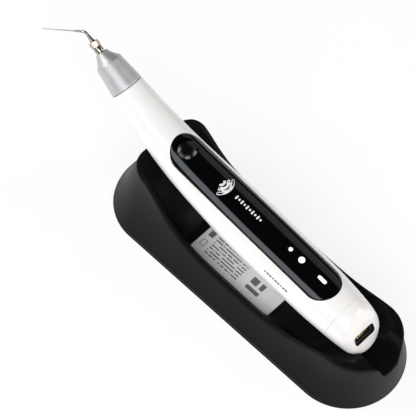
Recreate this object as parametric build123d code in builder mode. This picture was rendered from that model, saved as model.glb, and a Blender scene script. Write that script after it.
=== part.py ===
# Cordless ultrasonic endodontic handpiece lying in its charging cradle.
# Millimetres. Origin on the table under the middle of the cradle, +X to the handpiece's tail, +Z up.
import os
from math import atan2, cos, degrees, radians, sin, tan

from build123d import *

os.makedirs("parts", exist_ok=True)

# ---------------------------------------------------------------- cradle sizes
BASE_Z = 0.8  # underside of the base plate, above the table
PLATE_T = 1.6  # base plate thickness
SHELL_Z = BASE_Z + PLATE_T  # bottom edge of the moulded shell
TOP_Z = 45.0  # height the hull is drawn to, before the rim is cut
FLOOR_Z = 9.0  # floor of the open bay
NOSE_W = (26.6, 20.4, 18.4)  # half width of the nose end at the foot, the waist and the top
NOSE_R = (24.0, 14.0, 10.0)  # corner radius of the nose end at the same heights
TAIL_R = (25.0, 18.6, 17.8)  # tail-end plan radius at the same heights
NOSE_X = (-76.0, -67.5, -59.0)  # nose end of the hull at the same heights
TAIL_X = (75.2, 73.6, 72.6)  # tail end of the hull at the same heights
WAIST_Z = 20.0  # height of the middle hull section
REST_GAP = 0.45  # gap between handpiece and cradle
NOTCH_Z = 20.6  # floor of the notch through the tail wall
NOTCH_W = 10.4  # notch width at its floor
# ------------------------------------------------------------- handpiece sizes
WALL = 2.2  # housing wall
PANEL_T = 1.3  # control panel thickness
PANEL_L = 91.3  # control panel length over its round ends
PANEL_W = 16.0  # control panel width, flat
PANEL_GAP = 0.15  # reveal round the panel
PANEL_TILT = 7.6  # slope of the panel, degrees, falling to the tail
PANEL_MID = (-3.7, 49.74)  # middle of the panel, x and z
BUTTON_U = -39.2  # button centre along the panel from its middle
BUTTON_R = 4.60  # button radius
BUTTON_FIT = 0.08  # radial running clearance of the button in the panel
BUTTON_RIM, BUTTON_TOP = -1.0, 0.55  # rim and crown of the dome from the panel line
FLANGE_T, FLANGE_REACH = 0.8, 0.8  # thickness and overhang of the flange that keeps the button in
FLANGE_GAP = 1.021  # flange below the underside of the panel, at the flange's edge
PANEL_BOW_R = 10.6  # radius of the grip at the button
FLANGE_BOW = PANEL_BOW_R - (PANEL_BOW_R**2 - (BUTTON_R + FLANGE_REACH) ** 2) ** 0.5
FLANGE_TOP = -(PANEL_T + FLANGE_GAP + FLANGE_BOW)  # flange from the panel line
FLANGE_LOW = FLANGE_TOP - FLANGE_T
BUTTON_TRAVEL = 0.4  # press travel
SMALL_U, SMALL_R = 19.9, 0.9  # small indicator
LARGE_U, LARGE_R = 26.1, 1.4  # large indicator
LEVEL_U, LEVEL_L, LEVEL_W = 37.5, 5.0, 1.7  # charge level bar
BOARD_GAP, BOARD_T, BOARD_W = 1.8, 1.0, 10.0  # main board: gap to the button's flange, thickness, width
BOARD_DROP = BOARD_GAP - FLANGE_LOW  # main board below the panel line
LAMP_DROP, LAMP_T, LAMP_W = 4.2, 0.8, 7.0  # indicator board below the panel line
CELL_R, CELL_L = 6.0, 44.0  # lithium cell
REAR_TILT = 5.9  # slope of the rear grip, degrees
PORT_W, PORT_H, PORT_D = 10.4, 4.6, 4.2  # charging socket recess
PAD_X, PAD_Y, PAD_R, PAD_T = 50.0, 3.2, 1.7, 1.0  # charging pads in the belly
PIN_R, PIN_FIT, PIN_TRAVEL = 0.80, 0.05, 1.0  # sprung pins in the cradle
# ------------------------------------------------------------------ nose sizes
NOSE_AT = (-77.8, 61.5)  # middle of the nose cone's base, x and z
NOSE_TILT = 32.0  # rise of the nose, degrees
CONE_L, CONE_R, CONE_SHOULDER_R, CONE_TIP_R = 17.3, 7.15, 5.7, 2.65
CONE_SHOULDER = 12.5  # base to shoulder
THREAD_FIT = 0.05  # radial clearance of the threads
SKIRT_R, SKIRT_L = 5.2, 5.0  # threaded skirt of the nose cone
SEAL_T = 0.9  # recess of the seal between housing and nose cone
HORN_R, ROD_R, BOLT_R = 4.2, 1.55, 1.0  # ultrasonic stack
STUD_R = 1.2  # stud the ultrasonic tip screws on to
COLLAR_AF, COLLAR_L = 3.7, 5.1  # wrench flats and collar length
COLLAR_AT = CONE_L + 0.5  # collar's rear face from the cone's base
SHANK_L = 5.0  # collar's front face to the bend of the tip
BEND_AT = COLLAR_AT + COLLAR_L + SHANK_L  # bend of the tip from the cone's base
BEND_R = 2.0  # bend radius
FILE_VEC = (-18.6, -7.6, -9.8)  # bend to file end

# Centre line of the grip from nose to tail: x, z and outside radius.
SPINE = [
    (-77.8, 61.5, 7.22),
    (-69.6, 56.3, 8.14),
    (-61.1, 51.5, 8.96),
    (-43.1, 44.3, 10.46),
    (-24.0, 40.2, 11.50),
    (-4.8, 37.1, 12.15),
    (14.7, 34.9, 12.15),
    (33.9, 32.9, 11.85),
    (46.5, 31.3, 11.05),
]
TAIL = [
    (46.5, 31.3, 11.05, -6.5),
    (53.0, 30.5, 10.35, 5.0),
    (58.2, 29.7, 9.30, 24.0),
]


def slope(index):
    """Tangent of the centre line at a station, degrees above level, pointing to the tail."""
    before = SPINE[max(index - 1, 0)]
    after = SPINE[min(index + 1, len(SPINE) - 1)]
    if index == 0:
        return -NOSE_TILT
    if index == len(SPINE) - 1:
        return TAIL[0][3]
    return degrees(atan2(after[1] - before[1], after[0] - before[0]))


def across(x, z, angle):
    """Plane across the grip, its normal at the given slope and pointing to the tail."""
    return Plane(origin=(x, 0, z), x_dir=(0, 1, 0), z_dir=(cos(radians(angle)), 0, sin(radians(angle))))


def grip(grow, first=0):
    """The long grip, grown or shrunk by a radial amount, from a station to the tail seam."""
    with BuildPart() as body:
        for index in range(first, len(SPINE)):
            x, z, radius = SPINE[index]
            with BuildSketch(across(x, z, slope(index))):
                Circle(radius + grow)
        loft()
    return body.part


def tail_end(grow, push=0.0, soften=0.0):
    """The tail behind the seam, grown or shrunk, its end face pushed out and its edge rounded."""
    with BuildPart() as body:
        for x, z, radius, angle in TAIL:
            out = push if x == TAIL[-1][0] else 0.0
            shift = (x + out * cos(radians(angle)), z + out * sin(radians(angle)))
            with BuildSketch(across(shift[0], shift[1], angle)):
                Circle(radius + grow)
        loft()
        if soften:
            end = body.faces().filter_by(GeomType.PLANE).sort_by(Axis.X)[-1]
            fillet(end.edges(), soften)
    return body.part


# Panel frame: local X runs to the tail along the panel, local Z is out of it.
tilt = radians(PANEL_TILT)
PANEL = Plane(
    origin=(PANEL_MID[0], 0, PANEL_MID[1]),
    x_dir=(cos(tilt), 0, -sin(tilt)),
    z_dir=(sin(tilt), 0, cos(tilt)),
)
LEVEL_PLANE = Plane(
    origin=(PANEL.location * Location((LEVEL_U, 0, 0))).position,
    x_dir=PANEL.x_dir,
    z_dir=PANEL.z_dir,
)
# Rear frame, along the straight rear of the grip, at the middle of the cell.
rear = radians(REAR_TILT)
REAR = Plane(origin=(12.0, 0, 32.6), x_dir=(0, 1, 0), z_dir=(cos(rear), 0, -sin(rear)))
# Nose frame: local Z is the axis of the nose, out of its tip.
nose = radians(NOSE_TILT)
NOSE_DIR = (-cos(nose), 0, sin(nose))
NOSE = Plane(origin=(NOSE_AT[0], 0, NOSE_AT[1]), x_dir=(0, 1, 0), z_dir=NOSE_DIR)
NOSE_SIDE = Plane(origin=(NOSE_AT[0], 0, NOSE_AT[1]), x_dir=(sin(nose), 0, cos(nose)), z_dir=(0, -1, 0))
NOSE_AXIS = Axis((NOSE_AT[0], 0, NOSE_AT[1]), NOSE_DIR)
# Port frame on the slanted end face of the tail.
port = radians(TAIL[-1][3] + 8.0)
PORT = Plane(origin=(57.9, 0, 30.6), x_dir=(0, 1, 0), z_dir=(cos(port), 0, sin(port)))

BASE_ALIGN = (Align.CENTER, Align.CENTER, Align.MIN)


def prism(plane, low, high, length, width):
    """A round-ended bar along a plane's X between two heights."""
    with BuildPart() as bar:
        with BuildSketch(plane.offset(low)):
            SlotOverall(length, width)
        extrude(amount=high - low)
    return bar.part


grip_outer = grip(0.0)
grip_seat = grip(-PANEL_T - 0.02)
grip_cavity = grip(-WALL, 1)
tail_outer = tail_end(0.0, 0.0, 2.6)
tail_cavity = tail_end(-WALL, -WALL - 2.0)
panel_pocket = prism(PANEL, -7.5, 6.0, PANEL_L + 2 * PANEL_GAP, PANEL_W + 2 * PANEL_GAP) - grip_seat

# ==================================================================== handpiece
with BuildPart() as housing_shell:
    add(grip_outer)
    add(grip_cavity, mode=Mode.SUBTRACT)
    add(panel_pocket, mode=Mode.SUBTRACT)
    with Locations(NOSE.offset(-12.5)):
        Cylinder(SKIRT_R + THREAD_FIT, 14.0, align=BASE_ALIGN, mode=Mode.SUBTRACT)
    # Sealing land in front, where the nose cone meets the housing.
    with Locations(NOSE.offset(-SEAL_T)):
        Cylinder(CONE_R + 1.5, 4.0, align=BASE_ALIGN, mode=Mode.SUBTRACT)
    # Openings through the ledge under the panel.
    with Locations(PANEL):
        with Locations((BUTTON_U, 0, -8.0)):
            Cylinder(BUTTON_R + FLANGE_REACH + 0.5, 12.0, align=BASE_ALIGN, mode=Mode.SUBTRACT)
        with Locations((SMALL_U, 0, -6.0)):
            Cylinder(SMALL_R + 0.5, 8.0, align=BASE_ALIGN, mode=Mode.SUBTRACT)
        with Locations((LARGE_U, 0, -6.0)):
            Cylinder(LARGE_R + 0.5, 8.0, align=BASE_ALIGN, mode=Mode.SUBTRACT)
        with Locations((LEVEL_U, 0, -2.0)):
            Box(LEVEL_L + 1.0, LEVEL_W + 1.0, 8.0, mode=Mode.SUBTRACT)
housing_shell.part.label = "housing_shell"
export_step(housing_shell.part, "parts/housing_shell.step")

with BuildPart() as tail_cap:
    add(tail_outer)
    add(tail_cavity, mode=Mode.SUBTRACT)
    # Recess of the charging socket in the slanted end.
    with BuildSketch(PORT.offset(-PORT_D)) as port_outline:
        Rectangle(PORT_W, PORT_H)
        chamfer(port_outline.vertices(), 1.3)
    extrude(amount=12.0, mode=Mode.SUBTRACT)
    # Seats of the charging pads in the belly.
    with Locations((PAD_X, PAD_Y, 16.0), (PAD_X, -PAD_Y, 16.0)):
        Cylinder(PAD_R, 9.0, align=BASE_ALIGN, mode=Mode.SUBTRACT)
tail_cap.part.label = "tail_cap"
export_step(tail_cap.part, "parts/tail_cap.step")

with BuildPart() as control_panel:
    add(grip_outer)
    add(grip_seat, mode=Mode.SUBTRACT)
    add(prism(PANEL, -7.5, 6.0, PANEL_L, PANEL_W), mode=Mode.INTERSECT)
    with Locations(PANEL):
        with Locations((BUTTON_U, 0, -8.0)):
            Cylinder(BUTTON_R + BUTTON_FIT, 16.0, align=BASE_ALIGN, mode=Mode.SUBTRACT)
        with Locations((SMALL_U, 0, -6.0)):
            Cylinder(SMALL_R, 12.0, align=BASE_ALIGN, mode=Mode.SUBTRACT)
        with Locations((LARGE_U, 0, -6.0)):
            Cylinder(LARGE_R, 12.0, align=BASE_ALIGN, mode=Mode.SUBTRACT)
    add(prism(LEVEL_PLANE, -6.0, 6.0, LEVEL_L, LEVEL_W), mode=Mode.SUBTRACT)
control_panel.part.label = "control_panel"
export_step(control_panel.part, "parts/control_panel.step")

BUTTON_FACE = Plane(
    origin=(PANEL.location * Location((BUTTON_U, 0, 0))).position,
    x_dir=(cos(tilt), 0, -sin(tilt)),
    z_dir=(0, -1, 0),
)
BUTTON_AXIS = Axis(BUTTON_FACE.origin, PANEL.z_dir)
# The dome is a ball cap whose middle lies on the button's axis.
DOME_X, DOME_H = BUTTON_R - 0.3, BUTTON_TOP - BUTTON_RIM
dome_ball = (DOME_X**2 + DOME_H**2) / (2 * DOME_H)
dome_half = BUTTON_TOP - dome_ball + (dome_ball**2 - (DOME_X / 2) ** 2) ** 0.5
with BuildPart() as power_button:
    with BuildSketch(BUTTON_FACE):
        with BuildLine():
            Polyline(
                (0, BUTTON_TOP),
                (0, FLANGE_LOW),
                (BUTTON_R + FLANGE_REACH, FLANGE_LOW),
                (BUTTON_R + FLANGE_REACH, FLANGE_TOP),
                (BUTTON_R, FLANGE_TOP),
                (BUTTON_R, BUTTON_RIM - 0.3),
                (DOME_X, BUTTON_RIM),
            )
            ThreePointArc((DOME_X, BUTTON_RIM), (DOME_X / 2, dome_half), (0, BUTTON_TOP))
        make_face()
    revolve(axis=BUTTON_AXIS)
power_button.part.label = "power_button"
export_step(power_button.part, "parts/power_button.step")

with BuildPart() as indicator_small:
    add(grip_outer)
    with Locations(PANEL):
        with Locations((SMALL_U, 0, 1.0 - LAMP_DROP)):
            Cylinder(SMALL_R, 12.0, align=BASE_ALIGN, mode=Mode.INTERSECT)
indicator_small.part.label = "indicator_small"
export_step(indicator_small.part, "parts/indicator_small.step")

with BuildPart() as indicator_large:
    add(grip_outer)
    with Locations(PANEL):
        with Locations((LARGE_U, 0, 1.0 - LAMP_DROP)):
            Cylinder(LARGE_R, 12.0, align=BASE_ALIGN, mode=Mode.INTERSECT)
indicator_large.part.label = "indicator_large"
export_step(indicator_large.part, "parts/indicator_large.step")

with BuildPart() as charge_level_bar:
    add(grip_outer)
    level_prism = prism(LEVEL_PLANE, 1.0 - LAMP_DROP, 6.0, LEVEL_L, LEVEL_W)
    add(level_prism, mode=Mode.INTERSECT)
charge_level_bar.part.label = "charge_level_bar"
export_step(charge_level_bar.part, "parts/charge_level_bar.step")

with BuildPart() as main_board:
    with Locations(PANEL):
        with Locations((-17.8, 0, -BOARD_DROP)):
            Box(51.4, BOARD_W, BOARD_T, align=(Align.CENTER, Align.CENTER, Align.MAX))
main_board.part.label = "main_board"
export_step(main_board.part, "parts/main_board.step")

with BuildPart() as board_chips:
    with Locations(PANEL):
        with Locations((-20.0, 0, -BOARD_DROP), (-2.0, 1.5, -BOARD_DROP)):
            Box(7.0, 5.0, 1.1, align=BASE_ALIGN)
        with Locations((-11.0, -2.0, -BOARD_DROP), (-11.0, 2.2, -BOARD_DROP), (-28.0, 2.0, -BOARD_DROP)):
            Box(2.6, 1.6, 0.9, align=BASE_ALIGN)
board_chips.part.label = "board_chips"
export_step(board_chips.part, "parts/board_chips.step")

with BuildPart() as drive_coil:
    with Locations(PANEL):
        with Locations((-24.0, 0, -BOARD_DROP - BOARD_T)):
            Cylinder(3.8, 5.0, align=(Align.CENTER, Align.CENTER, Align.MAX))
        with Locations((-24.0, 0, -BOARD_DROP - BOARD_T - 5.0)):
            Cylinder(1.4, 1.0, align=BASE_ALIGN, mode=Mode.SUBTRACT)
drive_coil.part.label = "drive_coil"
export_step(drive_coil.part, "parts/drive_coil.step")

with BuildPart() as button_switch:
    with Locations(PANEL):
        with Locations((BUTTON_U, 0, -BOARD_DROP)):
            Box(4.6, 4.6, 0.6, align=BASE_ALIGN)
        with Locations((BUTTON_U, 0, -BOARD_DROP)):
            Cylinder(1.4, 0.95, align=BASE_ALIGN)
button_switch.part.label = "button_switch"
export_step(button_switch.part, "parts/button_switch.step")

with BuildPart() as indicator_board:
    with Locations(PANEL):
        with Locations((28.0, 0, -LAMP_DROP)):
            Box(28.0, LAMP_W, LAMP_T, align=(Align.CENTER, Align.CENTER, Align.MAX))
indicator_board.part.label = "indicator_board"
export_step(indicator_board.part, "parts/indicator_board.step")

with BuildPart() as indicator_lamps:
    with Locations(PANEL):
        with Locations((SMALL_U, 0, -LAMP_DROP), (LARGE_U, 0, -LAMP_DROP)):
            Box(1.6, 0.8, 0.7, align=BASE_ALIGN)
        with Locations((LEVEL_U - 1.2, 0, -LAMP_DROP), (LEVEL_U + 1.2, 0, -LAMP_DROP)):
            Box(1.6, 0.8, 0.7, align=BASE_ALIGN)
indicator_lamps.part.label = "indicator_lamps"
export_step(indicator_lamps.part, "parts/indicator_lamps.step")

with BuildPart() as battery_cell:
    with Locations(REAR):
        Cylinder(CELL_R, CELL_L)
    fillet(battery_cell.edges(), 0.8)
battery_cell.part.label = "battery_cell"
export_step(battery_cell.part, "parts/battery_cell.step")

with BuildPart() as battery_holder:
    with Locations(REAR):
        Cylinder(CELL_R + 0.9, CELL_L - 4.0)
        Cylinder(CELL_R, CELL_L, mode=Mode.SUBTRACT)
        with Locations((0, CELL_R, 0)):
            Box(30.0, 12.0, CELL_L, mode=Mode.SUBTRACT)
battery_holder.part.label = "battery_holder"
export_step(battery_holder.part, "parts/battery_holder.step")

# ------------------------------------------------------------ ultrasonic stack
with BuildPart() as transducer_horn:
    with BuildSketch(NOSE_SIDE):
        Polygon(
            (0, -6.5),
            (BOLT_R, -6.5),
            (BOLT_R, -14.0),
            (HORN_R, -14.0),
            (HORN_R, -8.0),
            (HORN_R + 0.5, -8.0),
            (HORN_R + 0.5, -6.5),
            (HORN_R, -6.0),
            (1.9, 4.5),
            (ROD_R, 8.5),
            (ROD_R, CONE_L + 0.2),
            (STUD_R, CONE_L + 0.2),
            (STUD_R, COLLAR_AT + 2.6),
            (0, COLLAR_AT + 2.6),
            align=None,
        )
    revolve(axis=NOSE_AXIS)
transducer_horn.part.label = "transducer_horn"
export_step(transducer_horn.part, "parts/transducer_horn.step")

DISC_T, PLATE_GAP, DISCS = 2.0, 0.2, 4
DISC_PITCH = DISC_T + PLATE_GAP
STACK_END = -14.0 - DISCS * DISC_PITCH + PLATE_GAP
with BuildPart() as piezo_discs:
    for index in range(DISCS):
        with Locations(NOSE.offset(-14.0 - index * DISC_PITCH - DISC_T)):
            Cylinder(HORN_R, DISC_T, align=BASE_ALIGN)
            Cylinder(BOLT_R, DISC_T, align=BASE_ALIGN, mode=Mode.SUBTRACT)
piezo_discs.part.label = "piezo_discs"
export_step(piezo_discs.part, "parts/piezo_discs.step")

with BuildPart() as electrode_plates:
    for index in range(DISCS - 1):
        with Locations(NOSE.offset(-14.0 - (index + 1) * DISC_PITCH)):
            Cylinder(HORN_R + 0.2, PLATE_GAP, align=BASE_ALIGN)
            Cylinder(BOLT_R, PLATE_GAP, align=BASE_ALIGN, mode=Mode.SUBTRACT)
electrode_plates.part.label = "electrode_plates"
export_step(electrode_plates.part, "parts/electrode_plates.step")

BACK_L = 8.2
with BuildPart() as back_mass:
    with Locations(NOSE.offset(STACK_END - BACK_L)):
        Cylinder(HORN_R, BACK_L, align=BASE_ALIGN)
        Cylinder(BOLT_R, BACK_L, align=BASE_ALIGN, mode=Mode.SUBTRACT)
back_mass.part.label = "back_mass"
export_step(back_mass.part, "parts/back_mass.step")

with BuildPart() as preload_bolt:
    with Locations(NOSE.offset(STACK_END - BACK_L - 1.8)):
        Cylinder(1.9, 1.8, align=BASE_ALIGN)
        Cylinder(BOLT_R, -6.5 - (STACK_END - BACK_L - 1.8), align=BASE_ALIGN)
preload_bolt.part.label = "preload_bolt"
export_step(preload_bolt.part, "parts/preload_bolt.step")

with BuildPart() as transducer_sleeve:
    with Locations(NOSE.offset(-28.0)):
        Cylinder(HORN_R + 0.9, 19.0, align=BASE_ALIGN)
        Cylinder(HORN_R + 0.5, 19.0, align=BASE_ALIGN, mode=Mode.SUBTRACT)
transducer_sleeve.part.label = "transducer_sleeve"
export_step(transducer_sleeve.part, "parts/transducer_sleeve.step")

with BuildPart() as nose_seal_ring:
    with Locations(NOSE.offset(-SEAL_T)):
        Cylinder(6.7, SEAL_T - 0.35, align=BASE_ALIGN)
        Cylinder(SKIRT_R + THREAD_FIT, SEAL_T, align=BASE_ALIGN, mode=Mode.SUBTRACT)
nose_seal_ring.part.label = "nose_seal_ring"
export_step(nose_seal_ring.part, "parts/nose_seal_ring.step")

with BuildPart() as nose_cone:
    with BuildSketch(NOSE_SIDE):
        with BuildLine():
            Polyline(
                (4.6, -SKIRT_L),
                (SKIRT_R, -SKIRT_L),
                (SKIRT_R, 0),
                (CONE_R - 0.25, 0),
                (CONE_R, 0.3),
                (CONE_SHOULDER_R + 0.1, CONE_SHOULDER - 0.3),
                (CONE_SHOULDER_R - 0.15, CONE_SHOULDER),
            )
            flare = (CONE_TIP_R + 0.95, CONE_SHOULDER + 0.55 * (CONE_L - CONE_SHOULDER))
            ThreePointArc((CONE_SHOULDER_R - 0.15, CONE_SHOULDER), flare, (CONE_TIP_R, CONE_L))
            Polyline(
                (CONE_TIP_R, CONE_L),
                (ROD_R + 0.35, CONE_L),
                (ROD_R + 0.35, 13.0),
                (4.6, 6.0),
                (4.6, -SKIRT_L),
            )
        make_face()
    revolve(axis=NOSE_AXIS)
nose_cone.part.label = "nose_cone"
export_step(nose_cone.part, "parts/nose_cone.step")

with BuildPart() as tip_collar:
    with BuildSketch(NOSE_SIDE):
        Polygon(
            (0, COLLAR_AT + 3.0),
            (STUD_R + THREAD_FIT, COLLAR_AT + 3.0),
            (STUD_R + THREAD_FIT, COLLAR_AT),
            (1.75, COLLAR_AT),
            (1.95, COLLAR_AT + 0.2),
            (1.95, COLLAR_AT + 2.5),
            (2.14, COLLAR_AT + 2.7),
            (2.14, COLLAR_AT + COLLAR_L - 0.25),
            (1.85, COLLAR_AT + COLLAR_L),
            (1.15, COLLAR_AT + COLLAR_L),
            (1.05, COLLAR_AT + COLLAR_L + 0.6),
            (0, COLLAR_AT + COLLAR_L + 0.6),
            align=None,
        )
    revolve(axis=NOSE_AXIS)
    # Six wrench flats on the front half.
    with BuildSketch(NOSE.offset(COLLAR_AT + 2.5)):
        Circle(4.0)
        RegularPolygon(COLLAR_AF / 2, 6, major_radius=False, mode=Mode.SUBTRACT)
    extrude(amount=COLLAR_L - 2.5, mode=Mode.SUBTRACT)
tip_collar.part.label = "tip_collar"
export_step(tip_collar.part, "parts/tip_collar.step")

file_vector = Vector(*FILE_VEC)
file_dir = file_vector.normalized()
nose_vector = Vector(*NOSE_DIR)
turn = radians(nose_vector.get_angle(file_dir))
bend_point = Vector(NOSE_AT[0], 0, NOSE_AT[1]) + nose_vector * BEND_AT
back_off = BEND_R * tan(turn / 2)
bend_in = bend_point - nose_vector * back_off
bend_out = bend_point + file_dir * back_off
bend_path = Edge.make_tangent_arc(bend_in, nose_vector, bend_out)
NECK_L = BEND_AT - back_off - (COLLAR_AT + COLLAR_L + 0.6)
STUB_L = 3.6
FILE_L = file_vector.length - back_off - STUB_L
with BuildPart() as tip_file:
    with Locations(NOSE.offset(COLLAR_AT + COLLAR_L + 0.6)):
        Cone(1.05, 0.62, NECK_L, align=BASE_ALIGN)
    with BuildSketch(Plane(origin=bend_in, z_dir=nose_vector)):
        Circle(0.62)
    sweep(path=bend_path)
    with Locations(Plane(origin=bend_out, z_dir=file_dir)):
        Cone(0.62, 0.46, STUB_L, align=BASE_ALIGN)
    with Locations(Plane(origin=bend_out + file_dir * STUB_L, z_dir=file_dir)):
        Cone(0.32, 0.13, FILE_L, align=BASE_ALIGN)
tip_file.part.label = "tip_file"
export_step(tip_file.part, "parts/tip_file.step")

# ------------------------------------------------------------ charging fittings
with BuildPart() as charge_port:
    with BuildSketch(PORT.offset(-PORT_D)) as port_plug:
        Rectangle(PORT_W, PORT_H)
        chamfer(port_plug.vertices(), 1.3)
    extrude(amount=2.8)
    with BuildSketch(PORT.offset(-PORT_D + 1.0)):
        Rectangle(7.6, 2.4)
    extrude(amount=4.0, mode=Mode.SUBTRACT)
charge_port.part.label = "charge_port"
export_step(charge_port.part, "parts/charge_port.step")

with BuildPart() as port_contacts:
    with BuildSketch(PORT.offset(-PORT_D + 1.0)):
        with GridLocations(1.3, 0, 5, 1):
            Rectangle(0.7, 0.7)
    extrude(amount=1.5)
port_contacts.part.label = "port_contacts"
export_step(port_contacts.part, "parts/port_contacts.step")

PAD_Z = 21.6
with BuildPart() as charging_pads:
    with Locations((PAD_X, PAD_Y, PAD_Z), (PAD_X, -PAD_Y, PAD_Z)):
        Cylinder(PAD_R, 2.2, align=BASE_ALIGN)
charging_pads.part.label = "charging_pads"
export_step(charging_pads.part, "parts/charging_pads.step")

# ====================================================================== cradle
RIM = [
    (-90.0, 44.2),
    (-60.0, 43.6),
    (-54.0, 42.4),
    (-48.0, 38.4),
    (-42.0, 31.8),
    (-35.5, 25.6),
    (-22.0, 19.8),
    (0.0, 17.8),
    (18.0, 17.8),
    (32.5, 19.8),
    (41.0, 23.0),
    (51.0, 27.4),
    (58.6, 29.4),
    (66.7, 30.3),
    (90.0, 30.6),
]
# Open bay: x, middle height, half width and half depth of each section.
BAY = [
    (-67.0, 45.6, 14.8, 3.4),
    (-58.0, 44.8, 15.7, 4.6),
    (-50.0, 41.0, 16.2, 6.2),
    (-42.0, 33.6, 16.8, 9.6),
    (-34.0, 26.0, 17.5, 12.0),
    (-20.0, 20.5, 18.3, 11.0),
    (0.0, 19.0, 18.5, 9.6),
    (18.0, 19.0, 18.2, 9.6),
    (32.0, 21.0, 17.6, 9.0),
    (44.0, 25.4, 17.0, 6.6),
    (54.0, 29.4, 15.8, 6.6),
    (63.0, 31.2, 11.8, 5.4),
]


def plan_section(height, nose_x, nose_w, nose_r, tail_x, tail_r):
    """Outline of the hull at a height: a round tail and a nose with round corners, joined straight."""
    with BuildSketch(Plane.XY.offset(height)) as outline:
        with Locations((nose_x + nose_r, nose_w - nose_r), (nose_x + nose_r, nose_r - nose_w)):
            Circle(nose_r)
        with Locations((tail_x - tail_r, 0)):
            Circle(tail_r)
        make_hull()
    return outline.sketch


def slab(low, high, inset):
    """Flat plate that follows the foot of the hull."""
    with BuildPart() as plate:
        ends = (NOSE_X[0] + inset, NOSE_W[0] - inset, NOSE_R[0] - inset, TAIL_X[0] - inset, TAIL_R[0] - inset)
        add(plan_section(low, *ends))
        extrude(amount=high - low)
    return plate.part


with BuildPart() as hull_body:
    for level, height in enumerate((BASE_Z, WAIST_Z, TOP_Z)):
        ends = (NOSE_X[level], NOSE_W[level], NOSE_R[level], TAIL_X[level], TAIL_R[level])
        add(plan_section(height, *ends))
    loft()

with BuildPart() as rim_cut:
    with BuildSketch(Plane.XZ):
        with BuildLine():
            Spline(*RIM)
            Polyline(RIM[-1], (RIM[-1][0], 60.0), (RIM[0][0], 60.0), RIM[0])
        make_face()
    extrude(amount=40.0, both=True)

with BuildPart() as bay_cut:
    for x, z, half_w, half_d in BAY:
        with BuildSketch(across(x, z, 0)):
            Ellipse(half_w, half_d)
    loft()

trough_cut = grip(REST_GAP) + tail_end(REST_GAP, REST_GAP, 2.4)
SCREWS = [(-40.0, 15.0), (-40.0, -15.0), (40.0, 15.0), (40.0, -15.0)]
FEET = [(-52.0, 13.0), (-52.0, -13.0), (54.0, 12.0), (54.0, -12.0), (0.0, 0.0)]
BLOCK_X, BLOCK_L, BLOCK_W = 50.0, 12.0, 12.0
INLET_X, INLET_Z, INLET_W, INLET_H = 24.0, 4.9, 9.0, 3.2
LABEL_X, LABEL_L, LABEL_W, LABEL_T = -4.5, 45.6, 29.6, 0.3

with BuildPart() as cradle_shell:
    add(hull_body.part)
    add(rim_cut.part, mode=Mode.SUBTRACT)
    add(bay_cut.part, mode=Mode.SUBTRACT)
    add(trough_cut, mode=Mode.SUBTRACT)
    # Flat floor for the label.
    with BuildSketch(Plane.XY.offset(FLOOR_Z)):
        with Locations((LABEL_X, 0)):
            RectangleRounded(LABEL_L + 6.0, LABEL_W + 3.2, 4.0)
    extrude(amount=10.0, mode=Mode.SUBTRACT)
    # Notch through the tail wall.
    with BuildSketch(Plane.YZ.offset(56.0)):
        with BuildLine():
            half = NOTCH_W / 2
            Polyline((-half - 5.0, 40.0), (-half - 5.0, 30.4), (-half - 3.6, 30.2))
            Spline((-half - 3.6, 30.2), (-half - 1.0, 27.5), (-half + 0.2, 23.5), (-half + 1.4, NOTCH_Z))
            Polyline((-half + 1.4, NOTCH_Z), (half - 1.4, NOTCH_Z))
            Spline((half - 1.4, NOTCH_Z), (half - 0.2, 23.5), (half + 1.0, 27.5), (half + 3.6, 30.2))
            Polyline((half + 3.6, 30.2), (half + 5.0, 30.4), (half + 5.0, 40.0), (-half - 5.0, 40.0))
        make_face()
    extrude(amount=24.0, mode=Mode.SUBTRACT)
    # Underside hollow with bosses for the cover screws.
    with BuildSketch(Plane.XY.offset(BASE_Z)):
        with Locations((0, 0)):
            SlotOverall(134.0, 39.0)
        with Locations(*SCREWS):
            Circle(3.2, mode=Mode.SUBTRACT)
    extrude(amount=7.0 - BASE_Z, mode=Mode.SUBTRACT)
    # Hollow under the saddle, and the contact block's shaft.
    with Locations((-54.0, 0, SHELL_Z)):
        Box(8.0, 20.0, 29.0, align=BASE_ALIGN, mode=Mode.SUBTRACT)
    with Locations((BLOCK_X, 0, SHELL_Z)):
        Box(BLOCK_L, BLOCK_W, 24.0, align=BASE_ALIGN, mode=Mode.SUBTRACT)
    # Seat of the base plate, screw holes and the power inlet's window.
    add(slab(BASE_Z - 1.0, SHELL_Z, 0.5), mode=Mode.SUBTRACT)
    with Locations(*[(x, y, BASE_Z) for x, y in SCREWS]):
        Cylinder(1.1, 7.0, align=BASE_ALIGN, mode=Mode.SUBTRACT)
    with Locations((INLET_X, 21.0, INLET_Z)):
        Box(INLET_W, 10.0, INLET_H, mode=Mode.SUBTRACT)
cradle_shell.part.label = "cradle_shell"
export_step(cradle_shell.part, "parts/cradle_shell.step")

with BuildPart() as base_plate:
    add(slab(BASE_Z, SHELL_Z, 0.5))
    with Locations(*[(x, y, BASE_Z) for x, y in SCREWS]):
        Cylinder(1.1, PLATE_T, align=BASE_ALIGN, mode=Mode.SUBTRACT)
        Cone(2.3, 1.1, 1.2, align=BASE_ALIGN, mode=Mode.SUBTRACT)
    with Locations(*[(x, y, BASE_Z) for x, y in FEET]):
        Cylinder(5.0, 0.6, align=BASE_ALIGN, mode=Mode.SUBTRACT)
base_plate.part.label = "base_plate"
export_step(base_plate.part, "parts/base_plate.step")

with BuildPart() as rubber_feet:
    with Locations(*[(x, y, 0) for x, y in FEET]):
        Cylinder(5.0, BASE_Z + 0.6, align=BASE_ALIGN)
rubber_feet.part.label = "rubber_feet"
export_step(rubber_feet.part, "parts/rubber_feet.step")

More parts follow.
